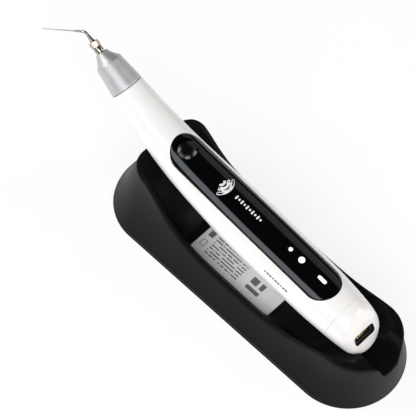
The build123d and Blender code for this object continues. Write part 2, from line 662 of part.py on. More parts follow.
with BuildPart() as cover_screws:
    with Locations(*[(x, y, BASE_Z) for x, y in SCREWS]):
        Cone(2.3, 1.1, 1.2, align=BASE_ALIGN)
        Cylinder(1.1, 6.0, align=BASE_ALIGN)
        Box(3.0, 0.5, 0.8, mode=Mode.SUBTRACT)
        Box(0.5, 3.0, 0.8, mode=Mode.SUBTRACT)
cover_screws.part.label = "cover_screws"
export_step(cover_screws.part, "parts/cover_screws.step")

with BuildPart() as ballast_plate:
    with Locations((-19.0, 0, SHELL_Z)):
        Box(34.0, 28.0, 3.2, align=BASE_ALIGN)
    fillet(ballast_plate.edges().filter_by(Axis.Z), 3.0)
ballast_plate.part.label = "ballast_plate"
export_step(ballast_plate.part, "parts/ballast_plate.step")

with BuildPart() as charging_board:
    with Locations((21.0, 0, SHELL_Z)):
        Box(30.0, 24.0, 1.2, align=BASE_ALIGN)
charging_board.part.label = "charging_board"
export_step(charging_board.part, "parts/charging_board.step")

with BuildPart() as charging_chips:
    with Locations((14.0, 4.0, SHELL_Z + 1.2), (28.0, -5.0, SHELL_Z + 1.2)):
        Box(5.0, 5.0, 1.2, align=BASE_ALIGN)
    with Locations((20.0, -6.0, SHELL_Z + 1.2)):
        Cylinder(2.4, 2.8, align=BASE_ALIGN)
charging_chips.part.label = "charging_chips"
export_step(charging_chips.part, "parts/charging_chips.step")

with BuildPart() as contact_block:
    with Locations((BLOCK_X, 0, SHELL_Z)):
        Box(BLOCK_L, BLOCK_W, 24.0, align=BASE_ALIGN)
    add(trough_cut, mode=Mode.SUBTRACT)
    add(bay_cut.part, mode=Mode.SUBTRACT)
    with Locations((PAD_X, PAD_Y, 6.5), (PAD_X, -PAD_Y, 6.5)):
        Cylinder(PIN_R + PIN_FIT, 22.0, align=BASE_ALIGN, mode=Mode.SUBTRACT)
contact_block.part.label = "contact_block"
export_step(contact_block.part, "parts/contact_block.step")


def contact_pin(y):
    """One sprung contact pin, its tip just under the handpiece's pad."""
    with BuildPart() as pin:
        with Locations((PAD_X, y, 8.0)):
            Cylinder(PIN_R, PAD_Z - 0.35 - 8.0, align=BASE_ALIGN)
        fillet(pin.faces().sort_by(Axis.Z)[-1].edges(), 0.5)
    return pin.part


with BuildPart() as contact_pin_near:
    add(contact_pin(-PAD_Y))
contact_pin_near.part.label = "contact_pin_near"
export_step(contact_pin_near.part, "parts/contact_pin_near.step")

with BuildPart() as contact_pin_far:
    add(contact_pin(PAD_Y))
contact_pin_far.part.label = "contact_pin_far"
export_step(contact_pin_far.part, "parts/contact_pin_far.step")

with BuildPart() as power_inlet:
    with Locations((INLET_X, 19.6, INLET_Z)):
        Box(INLET_W, 7.0, INLET_H)
    with Locations((INLET_X, 23.1, INLET_Z)):
        Box(7.4, 9.0, 1.9, mode=Mode.SUBTRACT)
power_inlet.part.label = "power_inlet"
export_step(power_inlet.part, "parts/power_inlet.step")

with BuildPart() as inlet_contacts:
    with Locations((INLET_X, 18.6, INLET_Z)):
        Box(5.6, 0.0 + 3.6, 0.6, align=(Align.CENTER, Align.MIN, Align.CENTER))
inlet_contacts.part.label = "inlet_contacts"
export_step(inlet_contacts.part, "parts/inlet_contacts.step")

with BuildPart() as rating_label:
    with BuildSketch(Plane.XY.offset(FLOOR_Z)):
        with Locations((LABEL_X, 0)):
            RectangleRounded(LABEL_L, LABEL_W, 1.6)
    extrude(amount=LABEL_T)
rating_label.part.label = "rating_label"
export_step(rating_label.part, "parts/rating_label.step")
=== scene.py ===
# %% [markdown]
# # A cordless endodontic handpiece in its charging cradle
# The object is a pen-shaped dental handpiece with a bent ultrasonic tip. It lies in a black cradle that
# holds it at a slope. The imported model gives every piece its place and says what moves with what. This
# lesson gives the same pieces their real surfaces: smooth moulded plastic, piano black, turned metal.

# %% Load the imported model
import math

import bmesh
import bpy
from mathutils import Matrix, Vector
from mathutils.bvhtree import BVHTree


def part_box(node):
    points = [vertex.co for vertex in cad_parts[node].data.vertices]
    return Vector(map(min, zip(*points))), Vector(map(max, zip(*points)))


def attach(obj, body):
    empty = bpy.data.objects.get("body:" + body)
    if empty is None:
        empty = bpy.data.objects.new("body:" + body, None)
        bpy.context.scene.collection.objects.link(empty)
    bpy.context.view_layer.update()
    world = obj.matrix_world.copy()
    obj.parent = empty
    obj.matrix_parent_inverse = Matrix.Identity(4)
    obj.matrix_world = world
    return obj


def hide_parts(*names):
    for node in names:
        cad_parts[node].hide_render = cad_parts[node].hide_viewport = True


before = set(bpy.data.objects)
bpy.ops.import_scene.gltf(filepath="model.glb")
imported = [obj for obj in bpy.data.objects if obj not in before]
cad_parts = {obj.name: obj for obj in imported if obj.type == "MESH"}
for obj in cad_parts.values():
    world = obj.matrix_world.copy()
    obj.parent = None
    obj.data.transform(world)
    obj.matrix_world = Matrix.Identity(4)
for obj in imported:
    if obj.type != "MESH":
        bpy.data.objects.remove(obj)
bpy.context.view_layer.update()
mm = 0.001
print("pieces in the packed model:", len(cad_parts))

# %% [markdown]
# ## Camera and studio
# The camera looks down steeply from the near side, past the tail, with a long lens. The floor is a pale
# sweep. Five soft boxes stand low around the object, so that the glossy panel mirrors the dark space
# over the set and only its edges catch light. A black gloss part looks deepest that way.

# %% Camera
azimuth, elevation = math.radians(45.4), math.radians(62.0)
back = Vector(
    (math.sin(azimuth) * math.cos(elevation), -math.cos(azimuth) * math.cos(elevation), math.sin(elevation))
)
camera_data = bpy.data.cameras.new("Camera")
camera_data.lens = 169.6
camera_data.sensor_width = 36.0
camera_data.clip_start, camera_data.clip_end = 0.05, 20.0
camera = bpy.data.objects.new("Camera", camera_data)
camera.location = (0.24279, -0.26979, 0.74181)
camera.rotation_mode = "QUATERNION"
camera.rotation_quaternion = (-back).to_track_quat("-Z", "Y")
bpy.context.scene.collection.objects.link(camera)
bpy.context.scene.camera = camera
bpy.context.scene.view_settings.view_transform = "Standard"
print("camera at", tuple(round(value, 3) for value in camera.location))

# %% Soft boxes
OBJECT_MIDDLE = Vector((-0.01, 0.0, 0.03))
LAMP_DISTANCE = 0.9
WARM = (1.0, 0.98, 0.96)


def soft_box(name, toward, width, height, power, tint):
    """A rectangular area light that faces the middle of the object from a direction."""
    data = bpy.data.lights.new(name, "AREA")
    data.shape = "RECTANGLE"
    data.size, data.size_y = width, height
    data.energy = power
    data.color = tint
    lamp = bpy.data.objects.new(name, data)
    direction = Vector(toward).normalized()
    lamp.location = OBJECT_MIDDLE + direction * LAMP_DISTANCE
    lamp.rotation_mode = "QUATERNION"
    lamp.rotation_quaternion = direction.to_track_quat("Z", "Y")
    bpy.context.scene.collection.objects.link(lamp)


soft_box("Near_Box", (-0.06, -0.74, 0.66), 0.52, 0.40, 2.0, (0.86, 0.93, 1.0))
soft_box("Tail_Box", (0.66, -0.46, 0.60), 0.50, 0.42, 4.35, WARM)
soft_box("Back_Box", (0.70, 0.56, 0.45), 0.50, 0.40, 3.2, (1.0, 0.985, 0.97))
soft_box("Far_Box", (-0.15, 0.86, 0.50), 0.90, 0.50, 0.62, (1.0, 1.0, 1.0))
soft_box("Nose_Box", (-0.68, -0.40, 0.62), 0.50, 0.42, 3.9, WARM)
world = bpy.data.worlds.new("Studio")
world.use_nodes = True
background = world.node_tree.nodes["Background"]
background.inputs["Color"].default_value = (0.95, 0.97, 1.0, 1.0)
background.inputs["Strength"].default_value = 0.03
bpy.context.scene.world = world
print("lights:", len(bpy.data.lights))

# %% [markdown]
# ## Writing shader maths
# A field wraps one socket of the node tree. Adding or multiplying fields adds Math nodes, so a pattern
# reads like a formula. Any other node comes from one method that sets its options first and then its
# values or links.

# %% Fields and finishes
class Field:
    """A value of a node tree that can be added, multiplied and compared."""

    def __init__(self, finish, socket):
        self.finish, self.socket = finish, socket

    def __add__(self, other):
        return self.finish.maths("ADD", self, other)

    def __sub__(self, other):
        return self.finish.maths("SUBTRACT", self, other)

    def __rsub__(self, other):
        return self.finish.maths("SUBTRACT", other, self)

    def __mul__(self, other):
        return self.finish.maths("MULTIPLY", self, other)

    def __truediv__(self, other):
        return self.finish.maths("DIVIDE", self, other)

    def __gt__(self, other):
        return self.finish.maths("GREATER_THAN", self, other)

    def __lt__(self, other):
        return self.finish.maths("LESS_THAN", self, other)

    __radd__ = __add__
    __rmul__ = __mul__


class Finish:
    """A material with one shader, and the methods that add nodes in front of it."""

    def __init__(self, name, **sockets):
        self.material = bpy.data.materials.new(name)
        self.material.use_nodes = True
        self.tree = self.material.node_tree
        self.tree.nodes.clear()
        self.output = self.tree.nodes.new("ShaderNodeOutputMaterial")
        self.surface = self.tree.nodes.new("ShaderNodeBsdfPrincipled")
        self.tree.links.new(self.surface.outputs["BSDF"], self.output.inputs["Surface"])
        self.set(self.surface, sockets)

    def set(self, node, values):
        for key, value in values.items():
            socket = node.inputs[key.replace("_", " ") if isinstance(key, str) else key]
            if isinstance(value, Field):
                self.tree.links.new(value.socket, socket)
            elif hasattr(socket.default_value, "__len__") and len(socket.default_value) == 4:
                socket.default_value = (*value, 1.0)[:4]
            else:
                socket.default_value = value

    def make(self, kind, settings=None, values=None, out=0):
        node = self.tree.nodes.new("ShaderNode" + kind)
        for key, value in (settings or {}).items():
            if key == "stops":
                ramp = node.color_ramp
                while len(ramp.elements) < len(value):
                    ramp.elements.new(0.5)
                for element, (place, colour) in zip(ramp.elements, value):
                    element.position, element.color = place, (*colour, 1.0)
            else:
                setattr(node, key, value)
        self.set(node, values or {})
        return Field(self, node.outputs[out])

    def maths(self, operation, *values):
        return self.make("Math", {"operation": operation}, dict(enumerate(values)))

    def place(self):
        return self.make("TexCoord", out="Object")

    def parts(self, vector):
        node = self.tree.nodes.new("ShaderNodeSeparateXYZ")
        self.tree.links.new(vector.socket, node.inputs[0])
        return [Field(self, socket) for socket in node.outputs]

    def noise(self, scale, detail=2.0, rough=0.5, stretch=None):
        vector = self.place()
        if stretch:
            vector = self.make("Mapping", {}, {"Vector": vector, "Scale": stretch})
        inputs = {"Vector": vector, "Scale": scale, "Detail": detail, "Roughness": rough}
        return self.make("TexNoise", {}, inputs)

    def blend(self, factor, first, second):
        return self.make("Mix", {"data_type": "RGBA"}, {0: factor, 6: first, 7: second}, out=2)

    def between(self, field, low, high, to_low, to_high):
        values = {0: field, 1: low, 2: high, 3: to_low, 4: to_high}
        return self.make("MapRange", {}, values)

    def bump(self, height, strength, distance):
        values = {"Height": height, "Strength": strength, "Distance": distance}
        return self.make("Bump", {}, values)

    def use(self, **sockets):
        self.set(self.surface, sockets)


print("shader helpers ready")

# %% [markdown]
# ## Moulded and painted finishes
# Gloss white plastic has a faint orange peel and a little wear. Piano black is smoother, with dust-fine
# smudges in its roughness. The cradle is a satin black moulding with a spark-eroded grain: a dense, fine
# bump that breaks up reflections.

# %% Plastics
white = Finish("White_Gloss_Plastic", IOR=1.46)
white_tone = white.noise(90.0, 3.0)
white_peel = white.noise(1500.0, 1.0)
white.use(
    Base_Color=white.blend(white_tone, (0.90, 0.885, 0.872), (0.945, 0.93, 0.918)),
    Roughness=white.between(white.noise(220.0, 4.0), 0.3, 0.7, 0.20, 0.30),
    Normal=white.bump(white_peel, 0.018, 0.0002),
    Coat_Weight=white.between(white_tone, 0.3, 0.7, 0.25, 0.40),
)
white.set(white.surface, {"Coat Roughness": 0.12})

panel_black = Finish("Piano_Black", IOR=1.50)
smudge = panel_black.noise(140.0, 5.0, 0.6)
panel_black.use(
    Base_Color=panel_black.blend(smudge, (0.0006, 0.0006, 0.0008), (0.0014, 0.0014, 0.0017)),
    Roughness=panel_black.between(smudge, 0.35, 0.75, 0.05, 0.11),
    Normal=panel_black.bump(panel_black.noise(2200.0, 1.0), 0.015, 0.0002),
)

button_black = Finish("Button_Black", IOR=1.48)
button_wear = button_black.noise(500.0, 4.0)
button_black.use(
    Base_Color=button_black.blend(button_wear, (0.0015, 0.0015, 0.002), (0.0035, 0.0035, 0.004)),
    Roughness=button_black.between(button_wear, 0.3, 0.7, 0.16, 0.24),
    Normal=button_black.bump(button_black.noise(3500.0, 2.0), 0.05, 0.0001),
)

cradle_black = Finish("Cradle_Satin_Black", IOR=1.40)
grain = cradle_black.noise(5200.0, 2.0, 0.6)
patina = cradle_black.noise(60.0, 4.0)
cradle_black.use(
    Base_Color=cradle_black.blend(patina, (0.0026, 0.0026, 0.0030), (0.0048, 0.0048, 0.0054)),
    Roughness=cradle_black.between(patina, 0.3, 0.7, 0.42, 0.50),
    Normal=cradle_black.bump(grain, 0.10, 0.0001),
)
cradle_black.set(cradle_black.surface, {"Specular IOR Level": 0.14})

fitting_black = Finish("Fitting_Black", IOR=1.47)
fitting_wear = fitting_black.noise(700.0, 3.0)
fitting_black.use(
    Base_Color=fitting_black.blend(fitting_wear, (0.010, 0.010, 0.011), (0.018, 0.018, 0.019)),
    Roughness=fitting_black.between(fitting_wear, 0.3, 0.7, 0.35, 0.50),
    Normal=fitting_black.bump(fitting_black.noise(6000.0, 2.0), 0.08, 0.0001),
)

seal_rubber = Finish("Seal_Rubber")
rubber_bloom = seal_rubber.noise(800.0, 4.0)
seal_rubber.use(
    Base_Color=seal_rubber.blend(rubber_bloom, (0.012, 0.012, 0.012), (0.026, 0.026, 0.026)),
    Roughness=seal_rubber.between(rubber_bloom, 0.3, 0.7, 0.65, 0.85),
    Normal=seal_rubber.bump(rubber_bloom, 0.20, 0.0001),
)
print("plastics and rubber:", len(bpy.data.materials))

# %% [markdown]
# ## Metals
# The nose cone is satin aluminium: turned on a lathe, then bead blasted, so faint rings run round it. The
# tip is polished steel with finer turning marks. The rings are a wave in the distance along the nose's
# axis, worked out from Object coordinates.

# %% Turned metal
nose_rise = math.radians(32.0)
nose_dir = Vector((-math.cos(nose_rise), 0.0, math.sin(nose_rise)))
nose_at = Vector((-77.8, 0.0, 61.5)) * mm


def turned_metal(name, dark, light, low, high, pitch, depth, metallic=1.0):
    """Metal with fine rings round the nose's axis and cloudy variation in its polish."""
    finish = Finish(name, Metallic=metallic)
    x, _, z = finish.parts(finish.place())
    along = x * nose_dir.x + z * nose_dir.z
    wobble = finish.noise(400.0, 2.0) * (pitch * 1.2)
    rings = finish.maths("SINE", (along + wobble) * (2 * math.pi / pitch))
    cloud = finish.noise(260.0, 4.0)
    finish.use(
        Base_Color=finish.blend(cloud, dark, light),
        Roughness=finish.between(cloud + rings * 0.04, 0.25, 0.75, low, high),
        Normal=finish.bump(rings + finish.noise(9000.0, 1.0), depth, 0.00002),
    )
    return finish


aluminium = turned_metal(
    "Satin_Aluminium", (0.56, 0.56, 0.57), (0.66, 0.66, 0.67), 0.46, 0.56, 0.00016, 0.20, 0.8
)
polished = turned_metal("Polished_Steel", (0.42, 0.37, 0.33), (0.52, 0.46, 0.41), 0.12, 0.20, 0.00012, 0.10)
file_steel = turned_metal("File_Steel", (0.42, 0.41, 0.39), (0.55, 0.54, 0.52), 0.16, 0.26, 0.00010, 0.15)
titanium = turned_metal("Turned_Titanium", (0.46, 0.45, 0.43), (0.56, 0.55, 0.52), 0.22, 0.34, 0.00020, 0.25)


def plain_metal(name, dark, light, low, high):
    """Plated or milled metal with a cloudy polish and a fine scratch bump."""
    finish = Finish(name, Metallic=1.0)
    cloud = finish.noise(500.0, 4.0)
    scratches = finish.noise(900.0, 3.0, 0.6, (1.0, 14.0, 1.0))
    finish.use(
        Base_Color=finish.blend(cloud, dark, light),
        Roughness=finish.between(scratches, 0.3, 0.7, low, high),
        Normal=finish.bump(scratches, 0.12, 0.00003),
    )
    return finish


gold = plain_metal("Contact_Gold", (0.78, 0.52, 0.20), (0.90, 0.66, 0.30), 0.15, 0.28)
screw_steel = plain_metal("Screw_Steel", (0.36, 0.36, 0.37), (0.50, 0.50, 0.50), 0.25, 0.40)
ballast = plain_metal("Ballast_Zinc", (0.42, 0.43, 0.44), (0.55, 0.56, 0.57), 0.35, 0.50)
shield = plain_metal("Shield_Steel", (0.55, 0.55, 0.55), (0.66, 0.66, 0.66), 0.22, 0.35)
print("materials so far:", len(bpy.data.materials))

# %% [markdown]
# ## Finishes inside the housing and under the cradle
# These are seen when the handpiece is lifted or the part is opened up: circuit board with copper tracks,
# chips, the cell's printed jacket, ceramic discs and the winding of the drive coil.

# %% Inner finishes
board = Finish("Circuit_Board", IOR=1.5)
board_x, board_y, _ = board.parts(board.place())
tracks = board.maths("FRACT", (board_x + board_y * 0.35) * 900.0) < 0.28
ways = board.noise(700.0, 0.0) > 0.5
board.use(
    Base_Color=board.blend(tracks * ways, (0.012, 0.10, 0.04), (0.05, 0.24, 0.10)),
    Roughness=board.between(tracks * ways, 0.0, 1.0, 0.34, 0.24),
    Normal=board.bump(tracks * ways, 0.3, 0.00003),
)


def cloudy(name, dark, light, low, high, scale=600.0, bump=0.1, **sockets):
    """A plain moulded or ground finish with slow colour variation and a fine bump."""
    finish = Finish(name, **sockets)
    cloud = finish.noise(scale, 4.0)
    finish.use(
        Base_Color=finish.blend(cloud, dark, light),
        Roughness=finish.between(cloud, 0.3, 0.7, low, high),
        Normal=finish.bump(finish.noise(scale * 8.0, 2.0), bump, 0.0001),
    )
    return finish


chip = cloudy("Chip_Resin", (0.015, 0.015, 0.016), (0.03, 0.03, 0.032), 0.45, 0.6)
lens = cloudy("Lamp_Lens", (0.75, 0.75, 0.60), (0.88, 0.88, 0.75), 0.12, 0.2)
copper = cloudy(
    "Copper_Winding", (0.45, 0.16, 0.06), (0.66, 0.28, 0.12), 0.22, 0.35, 900.0, 0.3, Metallic=1.0
)
jacket = cloudy("Cell_Jacket", (0.03, 0.09, 0.28), (0.05, 0.13, 0.36), 0.22, 0.32)
holder = cloudy("Holder_Grey", (0.10, 0.10, 0.105), (0.15, 0.15, 0.155), 0.5, 0.6)
ceramic = cloudy("Ground_Ceramic", (0.55, 0.48, 0.36), (0.68, 0.62, 0.48), 0.4, 0.55)
base_black = cloudy("Base_Plastic", (0.014, 0.014, 0.015), (0.024, 0.024, 0.025), 0.5, 0.62, 300.0, 0.15)

glow = Finish("Indicator_Glow", Roughness=0.35)
frost = glow.noise(1500.0, 2.0)
glow.use(
    Base_Color=glow.blend(frost, (0.82, 0.88, 0.95), (0.92, 0.96, 1.0)),
    Emission_Color=glow.blend(frost, (0.80, 0.90, 1.0), (0.92, 0.97, 1.0)),
)
glow.set(glow.surface, {"Emission Strength": 0.35})

print_white = Finish("Print_White", Roughness=0.4)
ink = print_white.noise(2500.0, 2.0)
print_white.use(Base_Color=print_white.blend(ink, (0.80, 0.80, 0.80), (0.92, 0.92, 0.92)))
print_grey = Finish("Print_Grey", Roughness=0.5)
ink_grey = print_grey.noise(2500.0, 2.0)
print_grey.use(Base_Color=print_grey.blend(ink_grey, (0.10, 0.10, 0.105), (0.16, 0.16, 0.165)))
print("all finishes:", len(bpy.data.materials))

# %% [markdown]
# ## The silver label
# The label in the cradle is silver film with rows of grey print. The print here is only bars of uneven
# length in rows, with a frame box and a solid block, and spells nothing. Rows come from the fraction of
# the distance across the label, and gaps from a stepped noise along it.

# %% Label film
label_low, label_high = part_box("rating_label")
label_film = Finish("Label_Film", Metallic=0.2)
label_x, label_y, _ = label_film.parts(label_film.place())
from_left = label_x - label_low.x
from_near = label_y - label_low.y
row_pitch = 1.45 * mm
row_number = label_film.maths("FLOOR", from_near / row_pitch)
in_row = label_film.maths("FRACT", from_near / row_pitch) < 0.42
cell_number = label_film.maths("FLOOR", from_left / (0.62 * mm))
dash_place = label_film.make("CombineXYZ", {}, {0: row_number * 3.7, 1: cell_number * 1.31, 2: 0.5})
dash_noise = label_film.make("TexWhiteNoise", {"noise_dimensions": "3D"}, {"Vector": dash_place}, out="Value")
dashes = dash_noise > 0.20
inside = (from_left > 6.2 * mm) * (from_left < 25.0 * mm) * (from_near > 2.9 * mm)


def patch(left, right, near, far):
    """A printed rectangle, from distances in millimetres from the label's left and near edges."""
    across = (from_left > left * mm) * (from_left < right * mm)
    return across * (from_near > near * mm) * (from_near < far * mm)


patches = patch(1.8, 4.4, 9.6, 12.6) + patch(1.8, 4.4, 4.2, 7.4) * (1.0 - patch(2.1, 4.1, 4.5, 7.1))
patches = patches + patch(29.5, 36.5, 3.4, 5.2) + patch(29.5, 33.0, 6.6, 9.8) + patch(34.4, 36.5, 6.6, 9.8)
printed = label_film.maths("MAXIMUM", in_row * dashes * inside, patches)
film_tone = label_film.noise(300.0, 3.0)
film_colour = label_film.blend(film_tone, (0.66, 0.66, 0.67), (0.78, 0.78, 0.79))
label_film.use(
    Base_Color=label_film.blend(printed * 0.88, film_colour, (0.05, 0.05, 0.055)),
    Roughness=label_film.between(film_tone, 0.3, 0.7, 0.30, 0.42),
    Normal=label_film.bump(film_tone, 0.05, 0.0001),
)
print("label film over", round((label_high.x - label_low.x) / mm, 1), "mm")

# %% [markdown]
# ## Shaping tools
# Nearly every piece here is a stack of rings: a ring is made once, and its edge is extruded from ring to
# ring. Curves through a few design stations use a smooth interpolation, so the grip flows from nose to tail.

# %% Rings and curves
def flow(stations, place, key=0):
    """Smooth value of every column of a table at a place along one column."""
    last = len(stations) - 1
    index = 0
    while index < last - 1 and place > stations[index + 1][key]:
        index += 1
    first, second = stations[index], stations[index + 1]
    before = stations[max(index - 1, 0)]
    after = stations[min(index + 2, last)]
    span = second[key] - first[key]
    part = min(max((place - first[key]) / span, 0.0), 1.0)
    values = []
    for column in range(len(first)):
        lean_a = (second[column] - before[column]) / max(second[key] - before[key], 1e-9) * span
        lean_b = (after[column] - first[column]) / max(after[key] - first[key], 1e-9) * span
        a, b = first[column], second[column]
        square, cube = part * part, part**3
        values.append(
            a * (2 * cube - 3 * square + 1)
            + lean_a * (cube - 2 * square + part)
            + b * (3 * square - 2 * cube)
            + lean_b * (cube - square)
        )
    return values


def ring_matrix(centre, normal, radius):
    """Places a unit circle across a line, with its first axis level."""
    normal = Vector(normal).normalized()
    level = Vector((0.0, 1.0, 0.0))
    if abs(normal.dot(level)) > 0.9:
        level = Vector((1.0, 0.0, 0.0))
    side = (level - normal * level.dot(normal)).normalized()
    up = normal.cross(side)
    turn = Matrix((side, up, normal)).transposed().to_4x4()
    return Matrix.Translation(centre) @ turn @ Matrix.Diagonal((radius, radius, radius, 1.0))


def next_ring(mesh, edges):
    """Extrudes the open edge of a surface and gives the new edge's vertices and edges."""
    grown = bmesh.ops.extrude_edge_only(mesh, edges=edges)["geom"]
    fresh = {item for item in grown if isinstance(item, bmesh.types.BMVert)}
    rim = [e for e in grown if isinstance(e, bmesh.types.BMEdge) and set(e.verts) <= fresh]
    return list(fresh), rim


def tube(rings, count, caps=(True, True)):
    """A surface through rings given as matrices of a unit circle."""
    mesh = bmesh.new()
    bmesh.ops.create_circle(mesh, segments=count, radius=1.0)
    bmesh.ops.transform(mesh, matrix=rings[0], verts=mesh.verts[:])
    edges = mesh.edges[:]
    if caps[0]:
        bmesh.ops.contextual_create(mesh, geom=edges)
    for before, after in zip(rings, rings[1:]):
        verts, edges = next_ring(mesh, edges)
        bmesh.ops.transform(mesh, matrix=after @ before.inverted(), verts=verts)
    if caps[1]:
        bmesh.ops.contextual_create(mesh, geom=edges)
    bmesh.ops.recalc_face_normals(mesh, faces=mesh.faces[:])
    return mesh


def nested(loops, cap_first=True, cap_last=True):
    """A surface through closed outlines that have the same number of points."""
    mesh = bmesh.new()
    bmesh.ops.create_circle(mesh, segments=len(loops[0]), radius=1.0)
    mesh.verts.ensure_lookup_table()
    ordered = mesh.verts[:]
    for vert, point in zip(ordered, loops[0]):
        vert.co = point
    edges = mesh.edges[:]
    if cap_first:
        bmesh.ops.contextual_create(mesh, geom=edges)
    for loop in loops[1:]:
        where = {vert.co.to_tuple(9): place for place, vert in enumerate(ordered)}
        fresh, edges = next_ring(mesh, edges)
        ordered = sorted(fresh, key=lambda vert: where[vert.co.to_tuple(9)])
        for vert, point in zip(ordered, loop):
            vert.co = point
    if cap_last:
        bmesh.ops.contextual_create(mesh, geom=edges)
    bmesh.ops.recalc_face_normals(mesh, faces=mesh.faces[:])
    return mesh


def joined(parts):
    """One bmesh that holds several, each still a closed shape of its own."""
    whole = bmesh.new()
    for part in parts:
        data = bpy.data.meshes.new("part")
        part.to_mesh(data)
        part.free()
        whole.from_mesh(data)
        bpy.data.meshes.remove(data)
    return whole


def as_object(mesh, name, finish, crease=35.0):
    """Turns a bmesh into an object with smooth shading and sharp creases."""
    data = bpy.data.meshes.new(name)
    mesh.to_mesh(data)
    mesh.free()
    piece = bpy.data.objects.new(name, data)
    bpy.context.scene.collection.objects.link(piece)
    data.materials.append(finish.material)
    data.shade_smooth()
    data.set_sharp_from_angle(angle=math.radians(crease))
    return piece


def cut(piece, tool):
    """Cuts a tool out of a piece. The cut faces take the tool's finish, and the tool is removed."""
    step = piece.modifiers.new("Cut", "BOOLEAN")
    step.operation, step.solver, step.object = "DIFFERENCE", "EXACT", tool
    step.material_mode = "TRANSFER"
    shape = bpy.context.evaluated_depsgraph_get()
    result = bpy.data.meshes.new_from_object(piece.evaluated_get(shape))
    piece.modifiers.clear()
    old, piece.data = piece.data, result
    result.name = piece.name
    bpy.data.meshes.remove(old)
    bpy.data.objects.remove(tool)
    result.shade_smooth()
    result.set_sharp_from_angle(angle=math.radians(35.0))


def rounded(piece, width, segments, angle):
    """Rounds the sharp edges of a piece with a bevel."""
    step = piece.modifiers.new("Edge_Radius", "BEVEL")
    step.width, step.segments = width, segments
    step.limit_method, step.angle_limit = "ANGLE", math.radians(angle)
    step.harden_normals = True


def finished(piece, body, slot, *stands_for):
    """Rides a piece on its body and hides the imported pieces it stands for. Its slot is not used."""
    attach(piece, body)
    if stands_for:
        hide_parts(*stands_for)
    print(piece.name, len(piece.data.polygons), "faces")


print("shaping tools ready")

# %% [markdown]
# ## The long grip
# The grip's centre line bends up at the nose and its radius swells in the middle. Each station gives the
# centre line's place and the radius there. The tail's rings tilt back until they match the slanted end.

# %% Grip surface
SPINE = [
    (-77.8, 61.5, 7.22),
    (-69.6, 56.3, 8.14),
    (-61.1, 51.5, 8.96),
    (-43.1, 44.3, 10.46),
    (-24.0, 40.2, 11.50),
    (-4.8, 37.1, 12.15),
    (14.7, 34.9, 12.15),
    (33.9, 32.9, 11.85),
    (46.5, 31.3, 11.05),
]
SEAM_X, SEAM_Z, SEAM_R = SPINE[-1]
NOSE_X = SPINE[0][0]
SEAM_TILT = -6.5
RING_POINTS = 144


def tilted(degrees):
    """A direction along the object, tilted up or down."""
    return Vector((math.cos(math.radians(degrees)), 0.0, math.sin(math.radians(degrees))))


seam_at, seam_normal = Vector((SEAM_X, 0.0, SEAM_Z)) * mm, tilted(SEAM_TILT)


def seam_ring(inset, shift):
    """A ring beside the seam between the grip and the tail cap."""
    return ring_matrix(seam_at + seam_normal * shift * mm, seam_normal, (SEAM_R - inset) * mm)


def grip_ring(x):
    """The ring of the grip's surface at a place along it. The first 6 mm turn to face the nose cone."""
    place_x, place_z, radius = flow(SPINE, x)
    ahead, behind = flow(SPINE, min(x + 0.5, SEAM_X)), flow(SPINE, max(x - 0.5, NOSE_X))
    lean = Vector((ahead[0] - behind[0], 0.0, ahead[1] - behind[1]))
    start = (x - NOSE_X) / 6.0
    if start < 1.0:
        lean = (-nose_dir).lerp(lean.normalized(), max(start, 0.0))
    return ring_matrix(Vector((place_x, 0.0, place_z)) * mm, lean, radius * mm)


LIP = [(5.30, -0.90), (6.70, -0.90), (6.75, -0.86), (6.75, -0.34), (6.80, -0.26), (6.95, -0.22)]
LIP += [(7.10, -0.24), (7.19, -0.34), (7.23, -0.52), (7.28, -0.85)]
grip_rings = [ring_matrix(nose_at + nose_dir * along * mm, -nose_dir, radius * mm) for radius, along in LIP]
first_x = NOSE_X + 1.6
grip_rings += [grip_ring(first_x + (SEAM_X - first_x) * k / 119) for k in range(119)]
grip_rings += [seam_ring(*at) for at in ((0.0, -0.14), (0.05, -0.05), (0.16, -0.02), (1.4, -0.02))]
grip_mesh = tube(grip_rings, RING_POINTS)
skin = BVHTree.FromBMesh(grip_mesh)
housing = as_object(grip_mesh, "Grip_Housing", white)
print("grip rings:", len(grip_rings))

# %% [markdown]
# ## The tail cap
# The tail is a separate moulding. Its end face is cut back at a slant so that the charging socket faces
# up, and its edge has a wide radius. The socket's recess is cut in with a chamfered block.

# %% Tail cap
TAIL_L, EDGE_R = 11.8, 2.6
TAIL = [(0.0, SEAM_X, SEAM_Z, SEAM_R, SEAM_TILT), (6.6, 53.0, 30.5, 10.35, 5.0)]
TAIL += [(TAIL_L, 58.2, 29.7, 9.30, 24.0)]


def tail_ring(along, shrink=0.0):
    """A ring of the tail at a distance behind the seam."""
    _, x, z, radius, tilt = flow(TAIL, along)
    return ring_matrix(Vector((x, 0.0, z)) * mm, tilted(tilt), (radius - shrink) * mm)


edge_start = TAIL_L - EDGE_R
tail_rings = [seam_ring(*at) for at in ((1.4, 0.02), (0.16, 0.02), (0.05, 0.05), (0.0, 0.14))]
tail_rings += [tail_ring(0.5 + (edge_start - 0.5) * k / 16) for k in range(17)]
for step in range(1, 11):
    turn = math.radians(9.0 * step)
    tail_rings.append(tail_ring(edge_start + EDGE_R * math.sin(turn), EDGE_R * (1 - math.cos(turn))))
tail_rings += [tail_ring(TAIL_L, inset) for inset in (4.0, 5.5, 7.0, 8.4)]
tail_mesh = tube(tail_rings, RING_POINTS)
tail_skin = BVHTree.FromBMesh(tail_mesh)
tail = as_object(tail_mesh, "Tail_Cap", white)


